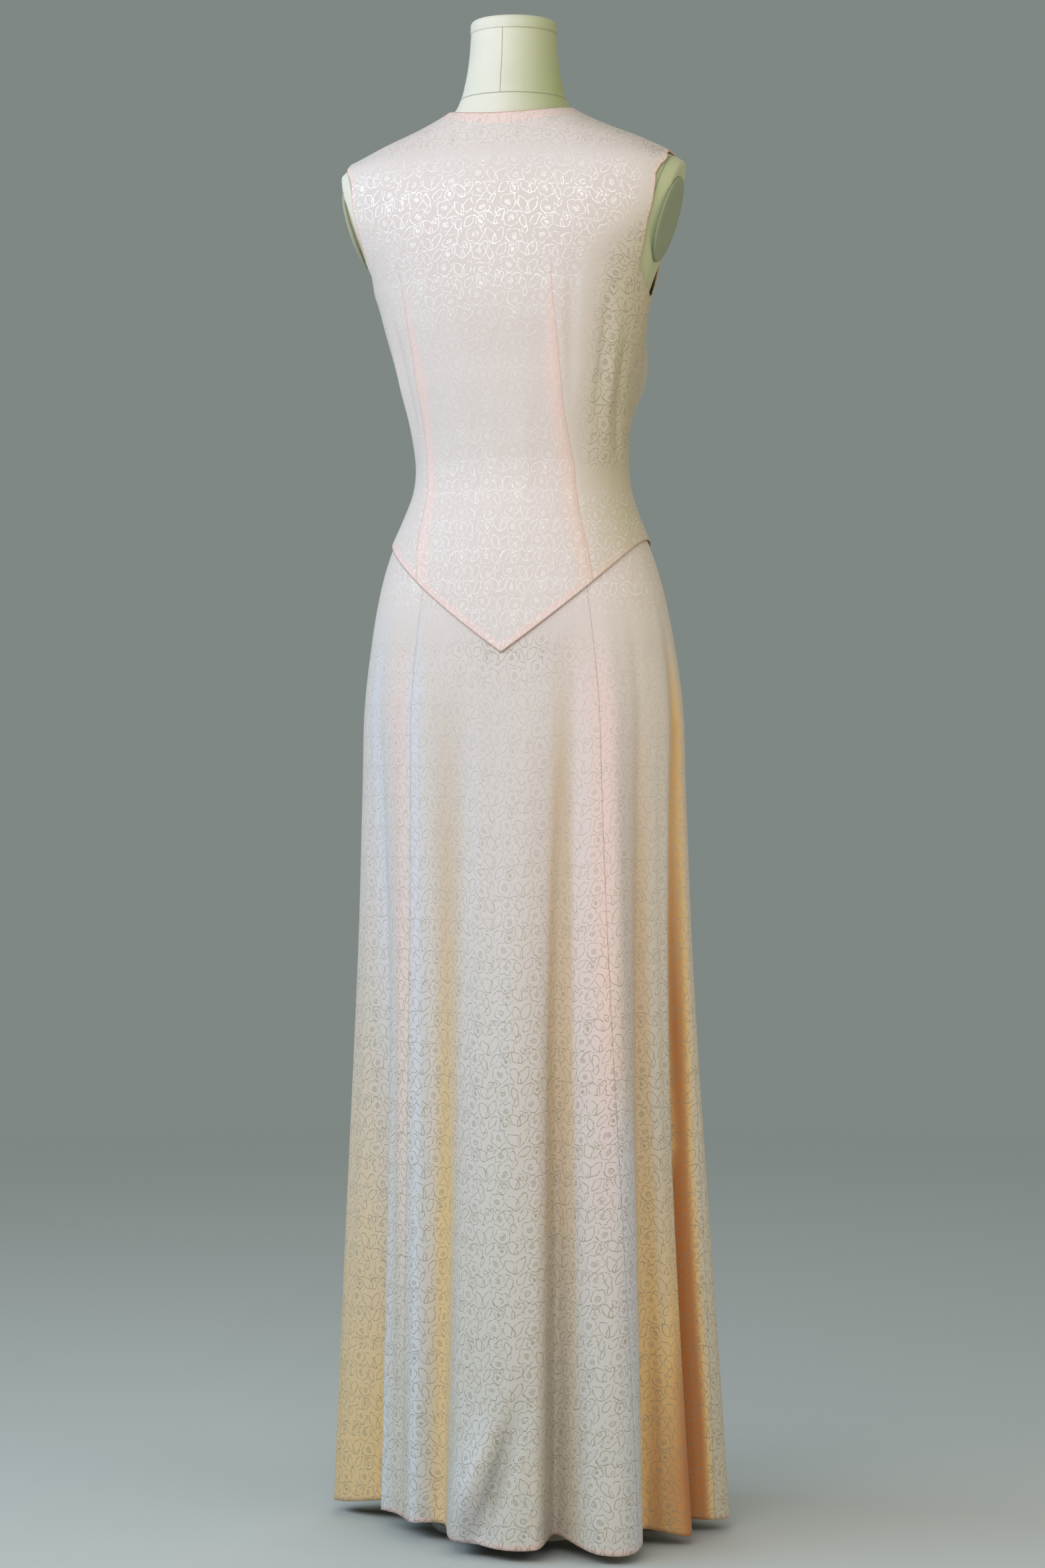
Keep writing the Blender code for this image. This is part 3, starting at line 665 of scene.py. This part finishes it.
# Painted rust shade in the deepest fold, also used for the thin painted shadow at turned edges.
FOLD_SHADE = (0.44, 0.16, 0.045, 1)
THREAD = (0.66, 0.40, 0.33, 1)
# Painted shade: the ground darker in steps towards the hem.
GROUND_SHADE_STEPS = (  # height where a tone begins, height where it is full, tone
    (1.02, 0.84, GROUND_MID_SHADE),
    (0.70, 0.12, GROUND_LOW_SHADE),
)
DOUBLED_SHARE, SHADE_SHARE, LINES_SHARE, THREAD_SHADE = 0.9, 0.8, 0.9, 0.6
RICH_BY_HEIGHT, RICH_BY_SHADE = (0.75, 0.35), (0.15, 0.45)
TURNED_BAND = (0.90, 1.04, 0.52, 0.0)  # share of the turning from, to; tone before, after
EDGE_SHADOW = (0.05, 0.11, 0.5, 0.0)
MILLIMETRES, CREPE_SPECULAR, CREPE_SHEEN, SHEEN_ROUGHNESS = 1000, 0.2, 0.1, 0.4
GROUND_ROUGHNESS, LINES_ROUGHNESS, LINES_METAL, DEEP_SHINE = 0.74, 0.30, 0.34, 0.12
CLOUD_SCALE, CLOUD_SPAN, PEBBLE_SCALE = 0.012, (0.35, 0.70), 1.1
PEBBLE_TONE = (0.42, 0.62, 0.0, 0.5)
THREAD_WAVE, STITCH_WAVE, STITCH_WIDTH = 6.5, 2.6, 0.00075  # radians a mm, and metres
STITCH_SPAN, DART_STITCH_SPAN = (-0.5, 0.1), (0.02, 0.12)
THREAD_RELIEF, LINES_RELIEF, STITCH_RELIEF, CREPE_RELIEF = 0.10, 0.5, -1.0, 0.6


def attribute_parts(tree, name):
    """The three numbers that a piece's points carry under an attribute's name."""
    return split(tree, add_node(tree, "Attribute", attribute_name=name, output=1))


def crepe_ground(tree, place, pebble, height):
    """The ground's tone: clouded, painted darker and greyer in steps as shade towards
    the hem, darker in its pits.
    """
    cloud = noise(tree, place, CLOUD_SCALE, 3)
    colour = tint(tree, ramp(tree, cloud, *CLOUD_SPAN), GROUND, GROUND_DEEP)
    for start, full, tone in GROUND_SHADE_STEPS:
        colour = tint(tree, ramp(tree, height, start, full), colour, tone)
    return tint(tree, ramp(tree, pebble, *PEBBLE_TONE), colour, CREVICE)


def crepe_finish():
    """Satin crepe: a fine pebbled ground with woven outlines, glossy and painted pale as a
    highlight on the bodice, painted dark as shade on the skirt. Turned edges and darts are
    pinker, because two layers lie there, and a thin painted shadow lines the turned edges.
    Painted shade makes the ground darker towards the hem, the hollows ochre, the deepest
    fold rust and the wearer's right olive; painted highlights make some ridges bluish and
    some flutes pink."""
    finish, tree, shader = new_finish(
        "gown_crepe", GROUND_ROUGHNESS, CREPE_SPECULAR, CREPE_SHEEN)
    shader.inputs["Sheen Roughness"].default_value = SHEEN_ROUGHNESS
    across, up, edge = attribute_parts(tree, "weave")
    warm, shade, pink = attribute_parts(tree, "tone")
    gloss_and_highlight, deep, stitch = attribute_parts(tree, "figure")
    height = split(tree, own_place(tree))[2]
    across, up = times(tree, across, MILLIMETRES), times(tree, up, MILLIMETRES)
    place = add_node(tree, "CombineXYZ", across, up, 0.0)
    pebble = noise(tree, place, PEBBLE_SCALE, 2)
    lines = flower_lines(tree, across, up)
    shown = times(tree, lines, gloss_and_highlight)
    shine = times(tree, shown, ramp(tree, deep, 0, 1, 1.0, DEEP_SHINE))
    double = calc(tree, "MAXIMUM", ramp(tree, edge, *TURNED_BAND), pink)
    dashes = calc(tree, "SINE", times(tree, across, STITCH_WAVE))
    on_dart = ramp(tree, pink, *DART_STITCH_SPAN)
    dashes = calc(tree, "MAXIMUM", ramp(tree, dashes, *STITCH_SPAN), on_dart)
    sewn = times(tree, line_mask(tree, stitch, STITCH_WIDTH), dashes)

    colour = crepe_ground(tree, place, pebble, height)
    # Pinker where cloth lies double, and a painted pink highlight on some of the skirt's flutes.
    colour = tint(tree, times(tree, double, DOUBLED_SHARE), colour, DOUBLED_AND_HIGHLIGHT)
    colour = tint(tree, times(tree, shade, SHADE_SHARE), colour, SHADE)
    # Painted shade in hollows: ochre, richer lower down and on the shaded side, rust in the
    # deepest fold.
    low, shaded = ramp(tree, height, *RICH_BY_HEIGHT), ramp(tree, shade, *RICH_BY_SHADE)
    valley = tint(tree, calc(tree, "MAXIMUM", low, shaded), VALLEY_SHADE, VALLEY_LOW_SHADE)
    colour = tint(tree, warm, colour, valley)
    colour = tint(tree, ramp(tree, warm, 1, 2), colour, FOLD_SHADE)
    # Painted bluish highlight where the warm share falls below 0.
    colour = tint(tree, ramp(tree, warm, 0, -1), colour, COOL_HIGHLIGHT)
    # Woven lines: pale as a painted highlight where they show most, darker as painted shade where
    # deep is high.
    woven = tint(tree, deep, LINES, LINES_SHADED)
    colour = tint(tree, times(tree, shown, LINES_SHARE), colour, woven)
    colour = tint(tree, times(tree, sewn, THREAD_SHADE), colour, THREAD)
    colour = tint(tree, ramp(tree, edge, *EDGE_SHADOW), colour, FOLD_SHADE)
    tree.links.new(colour, shader.inputs["Base Color"])

    rough = ramp(tree, shine, 0, 1, GROUND_ROUGHNESS, LINES_ROUGHNESS)
    tree.links.new(rough, shader.inputs["Roughness"])
    tree.links.new(ramp(tree, shine, 0, 1, 0.0, LINES_METAL), shader.inputs["Metallic"])
    thread = calc(tree, "SINE", times(tree, across, THREAD_WAVE))
    relief = times(tree, thread, THREAD_RELIEF, pebble)
    relief = times(tree, lines, LINES_RELIEF, relief)
    relief = times(tree, sewn, STITCH_RELIEF, relief)
    raise_grain(tree, shader, relief, CREPE_RELIEF)
    return finish


def skirt_surface(angle, height):
    """The form's surface down to the hips, and the skirt's own rings below them."""
    return body_points(SKIRT_RINGS + BODY_RINGS, angle, height)


def angle_apart(degrees, middle):
    """Degrees from a middle angle, from -180 to 180."""
    return (degrees - middle + 180) % 360 - 180


def rising(value, start, length):
    """0 up to the start, 1 past the length beyond it; a negative length runs down."""
    return np.clip((value - start) / length, 0, 1)


def bell(value, middle, half_width):
    """exp(-d^2), with d the distance from the middle in half widths."""
    return np.exp(-((value - middle) / half_width) ** 2)


def band_tone(bands, round_back, height):
    """Sum of upright bands, each a bell across that grows in downwards from its top."""
    return sum(share * bell(round_back, middle, width) * rising(height, top, -fade)
               for middle, width, share, top, fade in bands)


def side_fold(round_back, height):
    """1 in the deep fold at the wearer's right, where rust shade is painted: a bell across a
    line that leans with height, wider high up and, on the side of the back, towards the hem."""
    from_line = round_back - (SIDE_FOLD_ANGLE - SIDE_FOLD_LEAN * height)
    width = SIDE_FOLD_WIDTH + SIDE_FOLD_WIDER * rising(height, *SIDE_FOLD_WIDER_SPAN)
    foot = SIDE_FOLD_FOOT * rising(height, *SIDE_FOLD_FOOT_SPAN)
    width = width + np.where(from_line < 0, foot, 0)
    return bell(from_line, 0, width) * rising(height, *SIDE_FOLD_SPAN)


def skirt_tones(angle, height, rise):
    """Painted light on the skirt's cloth as (warm, shade, pink), and how far its woven lines
    show, glossy and painted pale, and how dark they are as painted shade. Warm is painted
    shade that grows with a hollow's depth, the folds' second difference round the body:
    up to 1 in a hollow, 2 in the deepest fold; below 0 it is a painted bluish highlight.
    Shade is painted olive shade towards the wearer's right, and pink a painted highlight
    on some flutes."""
    round_back = angle_apart(np.degrees(angle), 0)
    reach = np.radians(HOLLOW_REACH)
    hollow = fold_depth(angle + reach, height) + fold_depth(angle - reach, height)
    hollow = rising(hollow - 2 * fold_depth(angle, height), 0, HOLLOW_DEPTH)
    warm = hollow * (WARM_AT_HEM + (WARM_AT_TOP - WARM_AT_HEM) * rise)
    warm *= 1 - band_tone(PALE_BANDS, round_back, height)
    warm *= LEFT_KEEPS + (1 - LEFT_KEEPS) * rising(round_back, *LEFT_SPAN)
    left_panel = rising(round_back, *LEFT_PANEL_SPAN) * rising(round_back, *LEFT_PANEL_END)
    warm += LEFT_PANEL_TONE * left_panel * rising(rise, *LEFT_PANEL_RISE)
    warm = np.minimum(warm, 1)
    fold_tone = SIDE_FOLD_TONE - SIDE_FOLD_LOSS * rising(height, *SIDE_FOLD_LOSS_SPAN)
    warm += fold_tone * side_fold(round_back, height)
    warm += band_tone(WARM_SHADE_BANDS, round_back, height)
    warm -= band_tone(COOL_HIGHLIGHT_BANDS, round_back, height)

    rightward = rising(round_back, *SIDE_SHADE_SPAN) * rising(round_back, *FRONT_SPAN)
    # Painted pink highlight on some flutes, fading out towards the hem.
    pink = band_tone(PINK_HIGHLIGHT_BANDS, round_back, height) * rising(height, *PINK_FOOT_SPAN)
    # Woven lines painted darker as shade down the skirt and under the bodice's point.
    deep = DEEP_LEAST + (1 - DEEP_LEAST) * rising(height, *DEEP_FULL_SPAN)
    deep = deep * rising(height, *DEEP_SPAN)
    deep += DARK_POINT * bell(round_back, *DARK_POINT_ROUND) * bell(height, *DARK_POINT_UP)
    gloss_and_highlight = GLOSS_AT_HEM + (GLOSS_AT_TOP - GLOSS_AT_HEM) * rise
    return (warm, SIDE_SHADE * rightward, pink), gloss_and_highlight, deep


def fold_depth(angle, height):
    """Cosine bumps that grow evenly from their start down to the hem."""
    degrees = np.degrees(angle)
    depth = 0.0
    for start_angle, hem_angle, fold, half_width, start_height in SKIRT_FOLDS:
        growth = rising(height, start_height, -start_height)
        middle = start_angle + (hem_angle - start_angle) * growth
        share = rising(np.abs(angle_apart(degrees, middle)), 0, half_width)
        depth = depth + fold * growth * 0.5 * (1 + np.cos(np.pi * share))
    return depth


def crease_depth(creases, angle, height, power=1.0):
    """Slim leaning troughs and ridges: a bell across, a half sine to a power along."""
    degrees = np.degrees(angle)
    depth = 0.0
    for middle, foot, top, crease, half_width, lean in creases:
        along = np.sin(np.pi * rising(height, foot, top - foot)) ** power
        away = angle_apart(degrees, middle + lean * (top - height))
        depth = depth + crease * along * bell(away, 0, half_width)
    return depth


def pucker_depth(angle, height):
    """Short dents and bulges at the hem, a bell across and a bell up, that lean."""
    degrees = np.degrees(angle)
    depth = 0.0
    for middle, level, half_width, half_height, pucker, lean in HEM_PUCKERS:
        up = (height - level) / half_height
        away = angle_apart(degrees, middle) / half_width - lean * up
        depth = depth + pucker * np.exp(-away ** 2 - up ** 2)
    return depth


def panel_angle(share, half_turn=90):
    """Angle in degrees of a share of a panel's half turn, from -1 at one side to 1."""
    return half_turn * share + GOWN_TURN * (1 - share ** 2)


def lower_edge(share):
    """Height of the pointed seam: lowest at the centre line, highest at the sides."""
    return POINT_HEIGHT + (SIDE_SEAM_FOOT - POINT_HEIGHT) * np.sin(np.abs(share) * np.pi / 2)


def lengths_along(points, axis):
    """Distance along the rows or columns of a grid, from its first line."""
    steps = np.linalg.norm(np.diff(points, axis=axis), axis=-1)
    total = np.cumsum(steps, axis=axis)
    start = np.zeros_like(np.take(total, [0], axis=axis))
    return np.concatenate([start, total], axis=axis)


def cloth_piece(name, points, middle_column, edge, tone, figure, node):
    """A panel of cloth: a grid with a wall, and its weave in metres along the panel. edge
    is the distance from a raw edge as a share of what is turned under there. tone is
    (warm, shade, pink): painted ochre shade in a hollow and, below 0, a painted bluish
    highlight; painted olive shade on the right side; a dart's doubled cloth on the bodice
    and a painted pink highlight on the skirt's flutes. figure is three numbers: how far
    the woven lines show, glossy and painted pale as a highlight, how dark they are as
    painted shade, and the distance from a line of stitches."""
    across = lengths_along(points, 1)
    across = across - across[:, middle_column:middle_column + 1]
    up = lengths_along(points, 0) + points[:1, :, 2]
    mesh = grid_mesh(name, points)
    for label, values in (("weave", (across, up, edge)), ("tone", tone), ("figure", figure)):
        values = np.stack(np.broadcast_arrays(*values), axis=-1)
        attribute = mesh.attributes.new(label, "FLOAT_VECTOR", "POINT")
        attribute.data.foreach_set("vector", values.ravel())
    piece = new_piece(name, mesh, crepe, "gown_cloth", node)
    wall = piece.modifiers.new("Wall", "SOLIDIFY")
    wall.thickness = CLOTH
    wall.offset = 0


crepe = crepe_finish()
SKIRT_GORES = (  # name, its place in the row of three, columns, middle, flat size, area
    ("back_side_left", 0, 100, 0, (0.24, 1.09), 0.165),
    ("back_centre", 1, 150, 0, (0.36, 1.04), 0.300),
    ("back_side_right", 2, 110, 0, (0.26, 1.09), 0.195),
    ("front_side_right", 0, 84, 180, (0.25, 1.09), 0.180),
    ("front_centre", 1, 120, 180, (0.34, 1.04), 0.270),
    ("front_side_left", 2, 84, 180, (0.25, 1.09), 0.165),
)
for gore, place, columns, middle, flat, area in SKIRT_GORES:
    rise = np.linspace(0, 1, SKIRT_ROWS + 1)[:, None]
    across = np.linspace(0, 1, columns + 1)[None, :]
    seam = SEAM_HEM + (SEAM_TOP - SEAM_HEM) * rise
    first, last = ((-1, -seam), (-seam, seam), (seam, 1))[place]
    share = first + (last - first) * across
    angle = np.radians(panel_angle(share) + middle)
    top = lower_edge(share) + LAP_LENGTH
    hem = HEM_HEIGHT - HEM_LIFT * fold_depth(angle, np.full_like(angle, HEM_HEIGHT))
    height = hem + (top - hem) * rise
    radius = RADIUS_AT_HEM + (RADIUS_AT_TOP - RADIUS_AT_HEM) * rise
    inward = np.where(across == 0, 1.0, 0.0) - np.where(across == 1, 1.0, 0.0)
    angle = angle + inward * SEAM_GAP / 2 / radius
    distance = FORM_CLEARANCE + WALL_MIDDLE + fold_depth(angle, height)
    distance += crease_depth(SKIRT_CREASES, angle, height) + pucker_depth(angle, height)
    points = moved_out(skirt_surface, angle, height, distance)
    from_hem = lengths_along(points, 0)
    tone, gloss_and_highlight, deep = skirt_tones(angle, height, rise)
    cloth_piece("gown_skirt_" + gore, points, columns // 2, from_hem / HEM_TURNING,
                tone, (gloss_and_highlight, deep, from_hem - HEM_STITCH), "skirt_" + gore)


# ------------------------------------------------------------
# Bodice. One back and one front panel of the same crepe, shaped by long darts, with
# a high round neckline, cut-away armholes and a pointed lower edge that is folded
# under and lapped over the skirt.

BODICE_HEIGHTS = (  # height at the panel's centre line, height at its side edge
    (0.950, 1.072),
    (0.975, 1.084),
    (1.005, 1.098),
    (1.040, 1.115),
    (1.080, 1.138),
    (1.120, 1.163),
    (1.158, 1.190),
    (1.190, 1.214),
    (1.216, 1.235),
    (1.240, 1.255),
    (1.262, 1.274),
    (1.284, 1.293),
    (1.310, 1.313),
    (1.338, 1.333),
    (1.362, 1.348),
    (1.385, 1.368),
    (1.408, 1.395),
    (1.430, 1.422),
    (1.450, 1.448),
    (1.468, 1.468),
    (1.483, 1.480),
    (1.496, 1.491),
    (1.508, 1.507),
    (1.518, 1.522),
    (1.528, 1.537),
)
BACK_ARMHOLE = (  # height, angle from the centre line to the cut edge
    (1.333, 90.0),
    (1.348, 75.0),
    (1.368, 65.0),
    (1.410, 58.0),
    (1.458, 57.5),
    (1.468, 61.0),
    (1.480, 70.0),
    (1.491, 90.0),
)
FRONT_ARMHOLE = (
    (1.333, 90.0),
    (1.348, 77.0),
    (1.368, 68.0),
    (1.410, 58.0),
    (1.448, 57.0),
    (1.468, 62.0),
    (1.480, 71.0),
    (1.491, 90.0),
)
DARTS = (  # height, angle of the left dart, angle of the right dart
    (0.900, -35.0, 39.0),
    (1.022, -36.9, 40.1),
    (1.150, -52.5, 40.2),
    (1.215, -51.5, 33.5),
    (1.376, -43.0, 21.5),
    (1.600, -34.0, 12.0),
)
BODICE_CREASES = (  # angle, foot, top, depth, half width, lean in degrees per metre
    (52, 1.17, 1.36, -0.0034, 3.0, 20),
    (60, 1.15, 1.33, 0.0036, 3.4, 24),
    (70, 1.14, 1.31, -0.0036, 3.2, 30),
    (31, 1.20, 1.39, -0.0034, 3.0, 40),
    (-58, 1.17, 1.34, -0.0022, 3.2, -22),
    (-68, 1.15, 1.32, 0.0024, 3.4, -26),
    (-12, 1.10, 1.24, -0.0008, 4.0, 10),
    (14, 1.09, 1.25, 0.0009, 4.0, -12),
    (128, 1.10, 1.22, -0.0016, 4.0, 10),
    (150, 1.08, 1.21, 0.0014, 4.5, 8),
    (208, 1.09, 1.22, -0.0014, 4.0, -8),
    (232, 1.10, 1.21, 0.0015, 4.0, -12),
)
DART_SIDES = ((1, 1), (2, -1))  # column of DARTS, side on which its taken-in cloth lies
DART_TIP, DART_FADE, DART_GROOVE, DART_RIDGE = 1.376, 0.05, (0.0014, 0.0009), (0.003, 0.0004)
DART_RIDGE_PLACE, DART_INTAKE, DART_INTAKE_SPAN = 0.005, 0.020, (1.37, -0.12)
DART_PINK, DART_PINK_MOST = 1.1, 0.52
SHOULDER_NECK_HEIGHT, NECK_HALF_WIDTH, NECK_HALVINGS, CREASE_POWER = 1.537, 0.066, 30, 1.5
LAP_RISE, LAP_BLEND_LOW, LAP_BLEND_HIGH = 0.0026, 1.09, 1.16
NECK_TURNING, ARMHOLE_TURNING, POINT_TURNING = 0.013, 0.0055, 0.010
BODICE_ROWS, BODICE_RADIUS = 220, 0.09
RIGHT_SHADE_SPAN, SHOULDER_SPAN, SHOULDER_LOSS = (27, 40), (1.39, 0.06), 0.65
# The woven lines' pale painted highlight is least at DULL_HEIGHT; they are painted darker as
# shade towards the wearer's right and on the shoulders' tops.
DULL_HEIGHT, DULL_SPAN, WAIST_GLOSS = 1.255, (0.033, 0.06), 0.45
GLOSS_LEAST, GLOSS_GAIN, DEEP_GLOSS = 0.4, 0.5, 0.8
DEEP_FROM, DEEP_SHIFT, DEEP_SHIFT_SPAN, DEEP_WIDTH = 32, 14, (1.38, 0.05), 20
DEEP_FOOT_SPAN, YOKE_DEEP, YOKE_SPAN = (1.11, 0.05), 0.6, (1.475, 0.02)


def neckline(share, depth):
    """Height of the neckline, half an ellipse across between the shoulder seams,
    found by halving the span of heights until the ring's width meets the ellipse."""
    turn = np.abs(share) * np.pi / 2
    low = np.full(turn.shape, SHOULDER_NECK_HEIGHT - depth)
    high = np.full(turn.shape, SHOULDER_NECK_HEIGHT)
    for _ in range(NECK_HALVINGS):
        middle = (low + high) / 2
        drop = (SHOULDER_NECK_HEIGHT - middle) / depth
        reach = NECK_HALF_WIDTH * np.sqrt(np.clip(1 - drop ** 2, 0, 1))
        wide = curve_through(BODY_RINGS, middle)[..., 0] * np.sin(turn) > reach
        low = np.where(wide, middle, low)
        high = np.where(wide, high, middle)
    return (low + high) / 2


def bodice_tones(round_back, height):
    """Painted olive shade of the bodice's cloth, how far its woven lines show, glossy and
    painted pale as a highlight, and how dark they are as painted shade. Shade and the lines'
    darkness grow towards the wearer's right, the lines are darker on the shoulders' tops,
    and their painted highlight is least at DULL_HEIGHT."""
    rightward = rising(round_back, *FRONT_SPAN)
    shade = rightward * rising(round_back, *RIGHT_SHADE_SPAN)
    shade = shade * (1 - SHOULDER_LOSS * rising(height, *SHOULDER_SPAN))
    gloss_and_highlight = rising(np.abs(height - DULL_HEIGHT), *DULL_SPAN)
    gloss_and_highlight = gloss_and_highlight * np.where(height > DULL_HEIGHT, 1, WAIST_GLOSS)
    deep_from = DEEP_FROM + DEEP_SHIFT * rising(height, *DEEP_SHIFT_SPAN)
    deep = rightward * rising(round_back, deep_from, DEEP_WIDTH) * rising(height, *DEEP_FOOT_SPAN)
    gloss_and_highlight = np.maximum(GLOSS_LEAST + GLOSS_GAIN * gloss_and_highlight, DEEP_GLOSS * deep)
    return shade, gloss_and_highlight, np.maximum(deep, YOKE_DEEP * rising(height, *YOKE_SPAN))


def dart_marks(sides, degrees, angle, height):
    """Relief, pinker tone and stitch distance of the darts. Each has a bell-shaped groove
    on its line and a low ridge beside it, where the cloth taken in lies double in a
    band that narrows to nothing at the dart's tip."""
    half_width, _, back, _ = np.moveaxis(curve_through(BODY_RINGS, height), -1, 0)
    radius = np.hypot(half_width * np.cos(angle), back * np.sin(angle))
    relief, pink, stitch = 0 * height, 0 * height, np.ones_like(height)
    darts = np.array(DARTS).T
    fade = rising(height, DART_TIP, -DART_FADE)
    intake = DART_INTAKE * rising(height, *DART_INTAKE_SPAN) + 1e-6
    for column, inner in sides:
        away = np.radians(degrees - np.interp(height, darts[0], darts[column])) * radius
        inside = away * inner
        relief = relief - fade * DART_GROOVE[1] * bell(away, 0, DART_GROOVE[0])
        relief = relief + fade * DART_RIDGE[1] * bell(inside, DART_RIDGE_PLACE, DART_RIDGE[0])
        band = np.clip(DART_PINK * (1 - inside / intake), 0, DART_PINK_MOST)
        pink = np.maximum(pink, np.where(inside > 0, band * fade, 0))
        beside = (fade > 0) & (np.abs(away) < np.abs(stitch))
        stitch = np.where(beside, away, stitch)
    return relief, pink, stitch


BODICE_PANELS = (  # name, armhole, neckline's depth, columns, middle, darts, flat size, area
    ("back", BACK_ARMHOLE, 0.009, 170, 0, DART_SIDES, (0.40, 0.60), 0.190),
    ("front", FRONT_ARMHOLE, 0.097, 170, 180, (), (0.44, 0.58), 0.200),
)
for panel, armhole, neck_depth, columns, middle, dart_sides, flat, area in BODICE_PANELS:
    table = np.array(BODICE_HEIGHTS)
    steps = np.column_stack([np.arange(len(table)), table])
    rows = np.linspace(0, len(table) - 1, BODICE_ROWS + 1)
    centre_height, side_height = curve_through(steps, rows).T[:, :, None]
    even = np.linspace(-1, 1, columns + 1)[None, :]
    share = (even + np.sin(even * np.pi / 2)) / 2
    foot, top = lower_edge(share), neckline(share, neck_depth)
    side = (side_height - table[0, 1]) / (table[-1, 1] - table[0, 1])
    centre = (centre_height - table[0, 0]) / (table[-1, 0] - table[0, 0])
    height = foot + (top - foot) * (centre + (side - centre) * share ** 2)
    cut = np.interp(side_height, *np.array(armhole).T) - np.degrees(SEAM_GAP / 2 / BODICE_RADIUS)
    degrees = panel_angle(share, cut)
    angle = np.radians(degrees + middle)

    raised = rising(height, LAP_BLEND_HIGH, LAP_BLEND_LOW - LAP_BLEND_HIGH)
    lap = LAP_RISE * raised ** 2 * (3 - 2 * raised)
    relief, pink, stitch = dart_marks(dart_sides, degrees, angle, height)
    distance = FORM_CLEARANCE + WALL_MIDDLE + lap + relief
    distance += crease_depth(BODICE_CREASES, angle, height, CREASE_POWER)
    points = moved_out(form_surface, angle, height, distance)
    shade, gloss_and_highlight, deep = bodice_tones(angle_apart(np.degrees(angle), 0), height)

    from_foot = lengths_along(points, 0)
    from_neck = from_foot[-1:] - from_foot
    from_side = lengths_along(points, 1)
    from_side = np.minimum(from_side, from_side[:, -1:] - from_side)
    at_armhole = (side_height > armhole[0][0]) & (side_height < armhole[-1][0])
    edge = np.minimum(from_foot / POINT_TURNING, from_neck / NECK_TURNING)
    edge = np.minimum(edge, np.where(at_armhole, from_side / ARMHOLE_TURNING, np.inf))
    cloth_piece("gown_bodice_" + panel, points, columns // 2, edge,
                (0 * height, shade, pink), (gloss_and_highlight, deep, stitch), "bodice_" + panel)


# ------------------------------------------------------------
# Studio. A wide pale floor that fades into a grey backdrop. A large soft light hangs
# above the back of the gown, with a cool one at the wearer's left, a small fill and a
# low warm one at the wearer's right, and a faint one over the front.

TARGET = (0.0, 0.0, 0.81)
CAMERA_AZIMUTH, CAMERA_DISTANCE, LENS, SENSOR, SHIFT = 195, 4.2, 88.06, 36, -2 / 2352
FLOOR_REACH, FLOOR_FADE, FLOOR_ROUGHNESS, FLOOR_SPECULAR = 30.0, (0.7, 5.0), 0.8, 0.2
FLOOR_PAINT, BACKDROP = (0.50, 0.53, 0.515, 1), (0.215, 0.245, 0.232, 1)


def around(azimuth, elevation, distance):
    """A place at an azimuth (0 looks along +Y) and elevation round the object's middle."""
    turn, rise = math.radians(azimuth), math.radians(elevation)
    flat = distance * math.cos(rise)
    return (flat * math.sin(turn), -flat * math.cos(turn), TARGET[2] + distance * math.sin(rise))


def aim(thing, place, target):
    """Stands a camera or light at a place and turns it to a target."""
    run = np.array(target) - np.array(place)
    thing.location = place
    thing.rotation_euler = (
        math.atan2(math.hypot(run[0], run[1]), -run[2]), 0, math.atan2(-run[0], run[1]))
    bpy.context.scene.collection.objects.link(thing)


floor_mesh = bpy.data.meshes.new("studio_floor")
corners = [(-FLOOR_REACH, -FLOOR_REACH, 0), (FLOOR_REACH, -FLOOR_REACH, 0),
           (FLOOR_REACH, FLOOR_REACH, 0), (-FLOOR_REACH, FLOOR_REACH, 0)]
floor_mesh.from_pydata(corners, [], [(0, 1, 2, 3)])
floor = bpy.data.objects.new("studio_floor", floor_mesh)
bpy.context.scene.collection.objects.link(floor)
floor_paint, tree, shader = new_finish("studio_floor", FLOOR_ROUGHNESS, FLOOR_SPECULAR)
shader.inputs["Base Color"].default_value = FLOOR_PAINT
far = add_node(tree, "VectorMath", own_place(tree), operation="LENGTH", output=1)
glow = add_node(tree, "Emission", BACKDROP, 1.0)
fade = ramp(tree, far, *FLOOR_FADE)
mixed = add_node(tree, "MixShader", fade, shader.outputs[0], glow)
tree.links.new(mixed, tree.nodes["Material Output"].inputs["Surface"])
floor_mesh.materials.append(floor_paint)

camera = bpy.data.objects.new("camera", bpy.data.cameras.new("camera"))
camera.data.lens = LENS
camera.data.sensor_width = SENSOR
camera.data.shift_x = SHIFT
aim(camera, around(CAMERA_AZIMUTH, 0, CAMERA_DISTANCE), TARGET)
bpy.context.scene.camera = camera

LIGHTS = (  # name, azimuth, elevation, distance, width, height, power, colour
    ("key", 172, 27, 3.6, 4.4, 1.5, 93, (1.0, 0.98, 0.98)),
    ("cool_side", 114, 25, 3.6, 3.0, 1.4, 64, (0.60, 0.79, 1.0)),
    ("warm_side", 262, -2, 2.8, 0.8, 1.2, 17, (1.0, 0.80, 0.58)),
    ("right_fill", 236, 24, 3.6, 1.6, 1.2, 16, (1.0, 0.92, 0.90)),
    ("far_fill", 10, 34, 4.4, 2.6, 2.4, 30, (1.0, 0.99, 0.97)),
)
for name, azimuth, elevation, distance, width, tall, power, colour in LIGHTS:
    lamp = bpy.data.lights.new(name, "AREA")
    lamp.shape = "RECTANGLE"
    lamp.size, lamp.size_y = width, tall
    lamp.energy = power
    lamp.color = colour
    aim(bpy.data.objects.new(name, lamp), around(azimuth, elevation, distance), TARGET)

world = bpy.data.worlds.new("studio")
world.use_nodes = True
world.node_tree.nodes["Background"].inputs["Color"].default_value = BACKDROP
world.node_tree.nodes["Background"].inputs["Strength"].default_value = 1.0
bpy.context.scene.world = world
bpy.context.scene.view_settings.view_transform = "Standard"
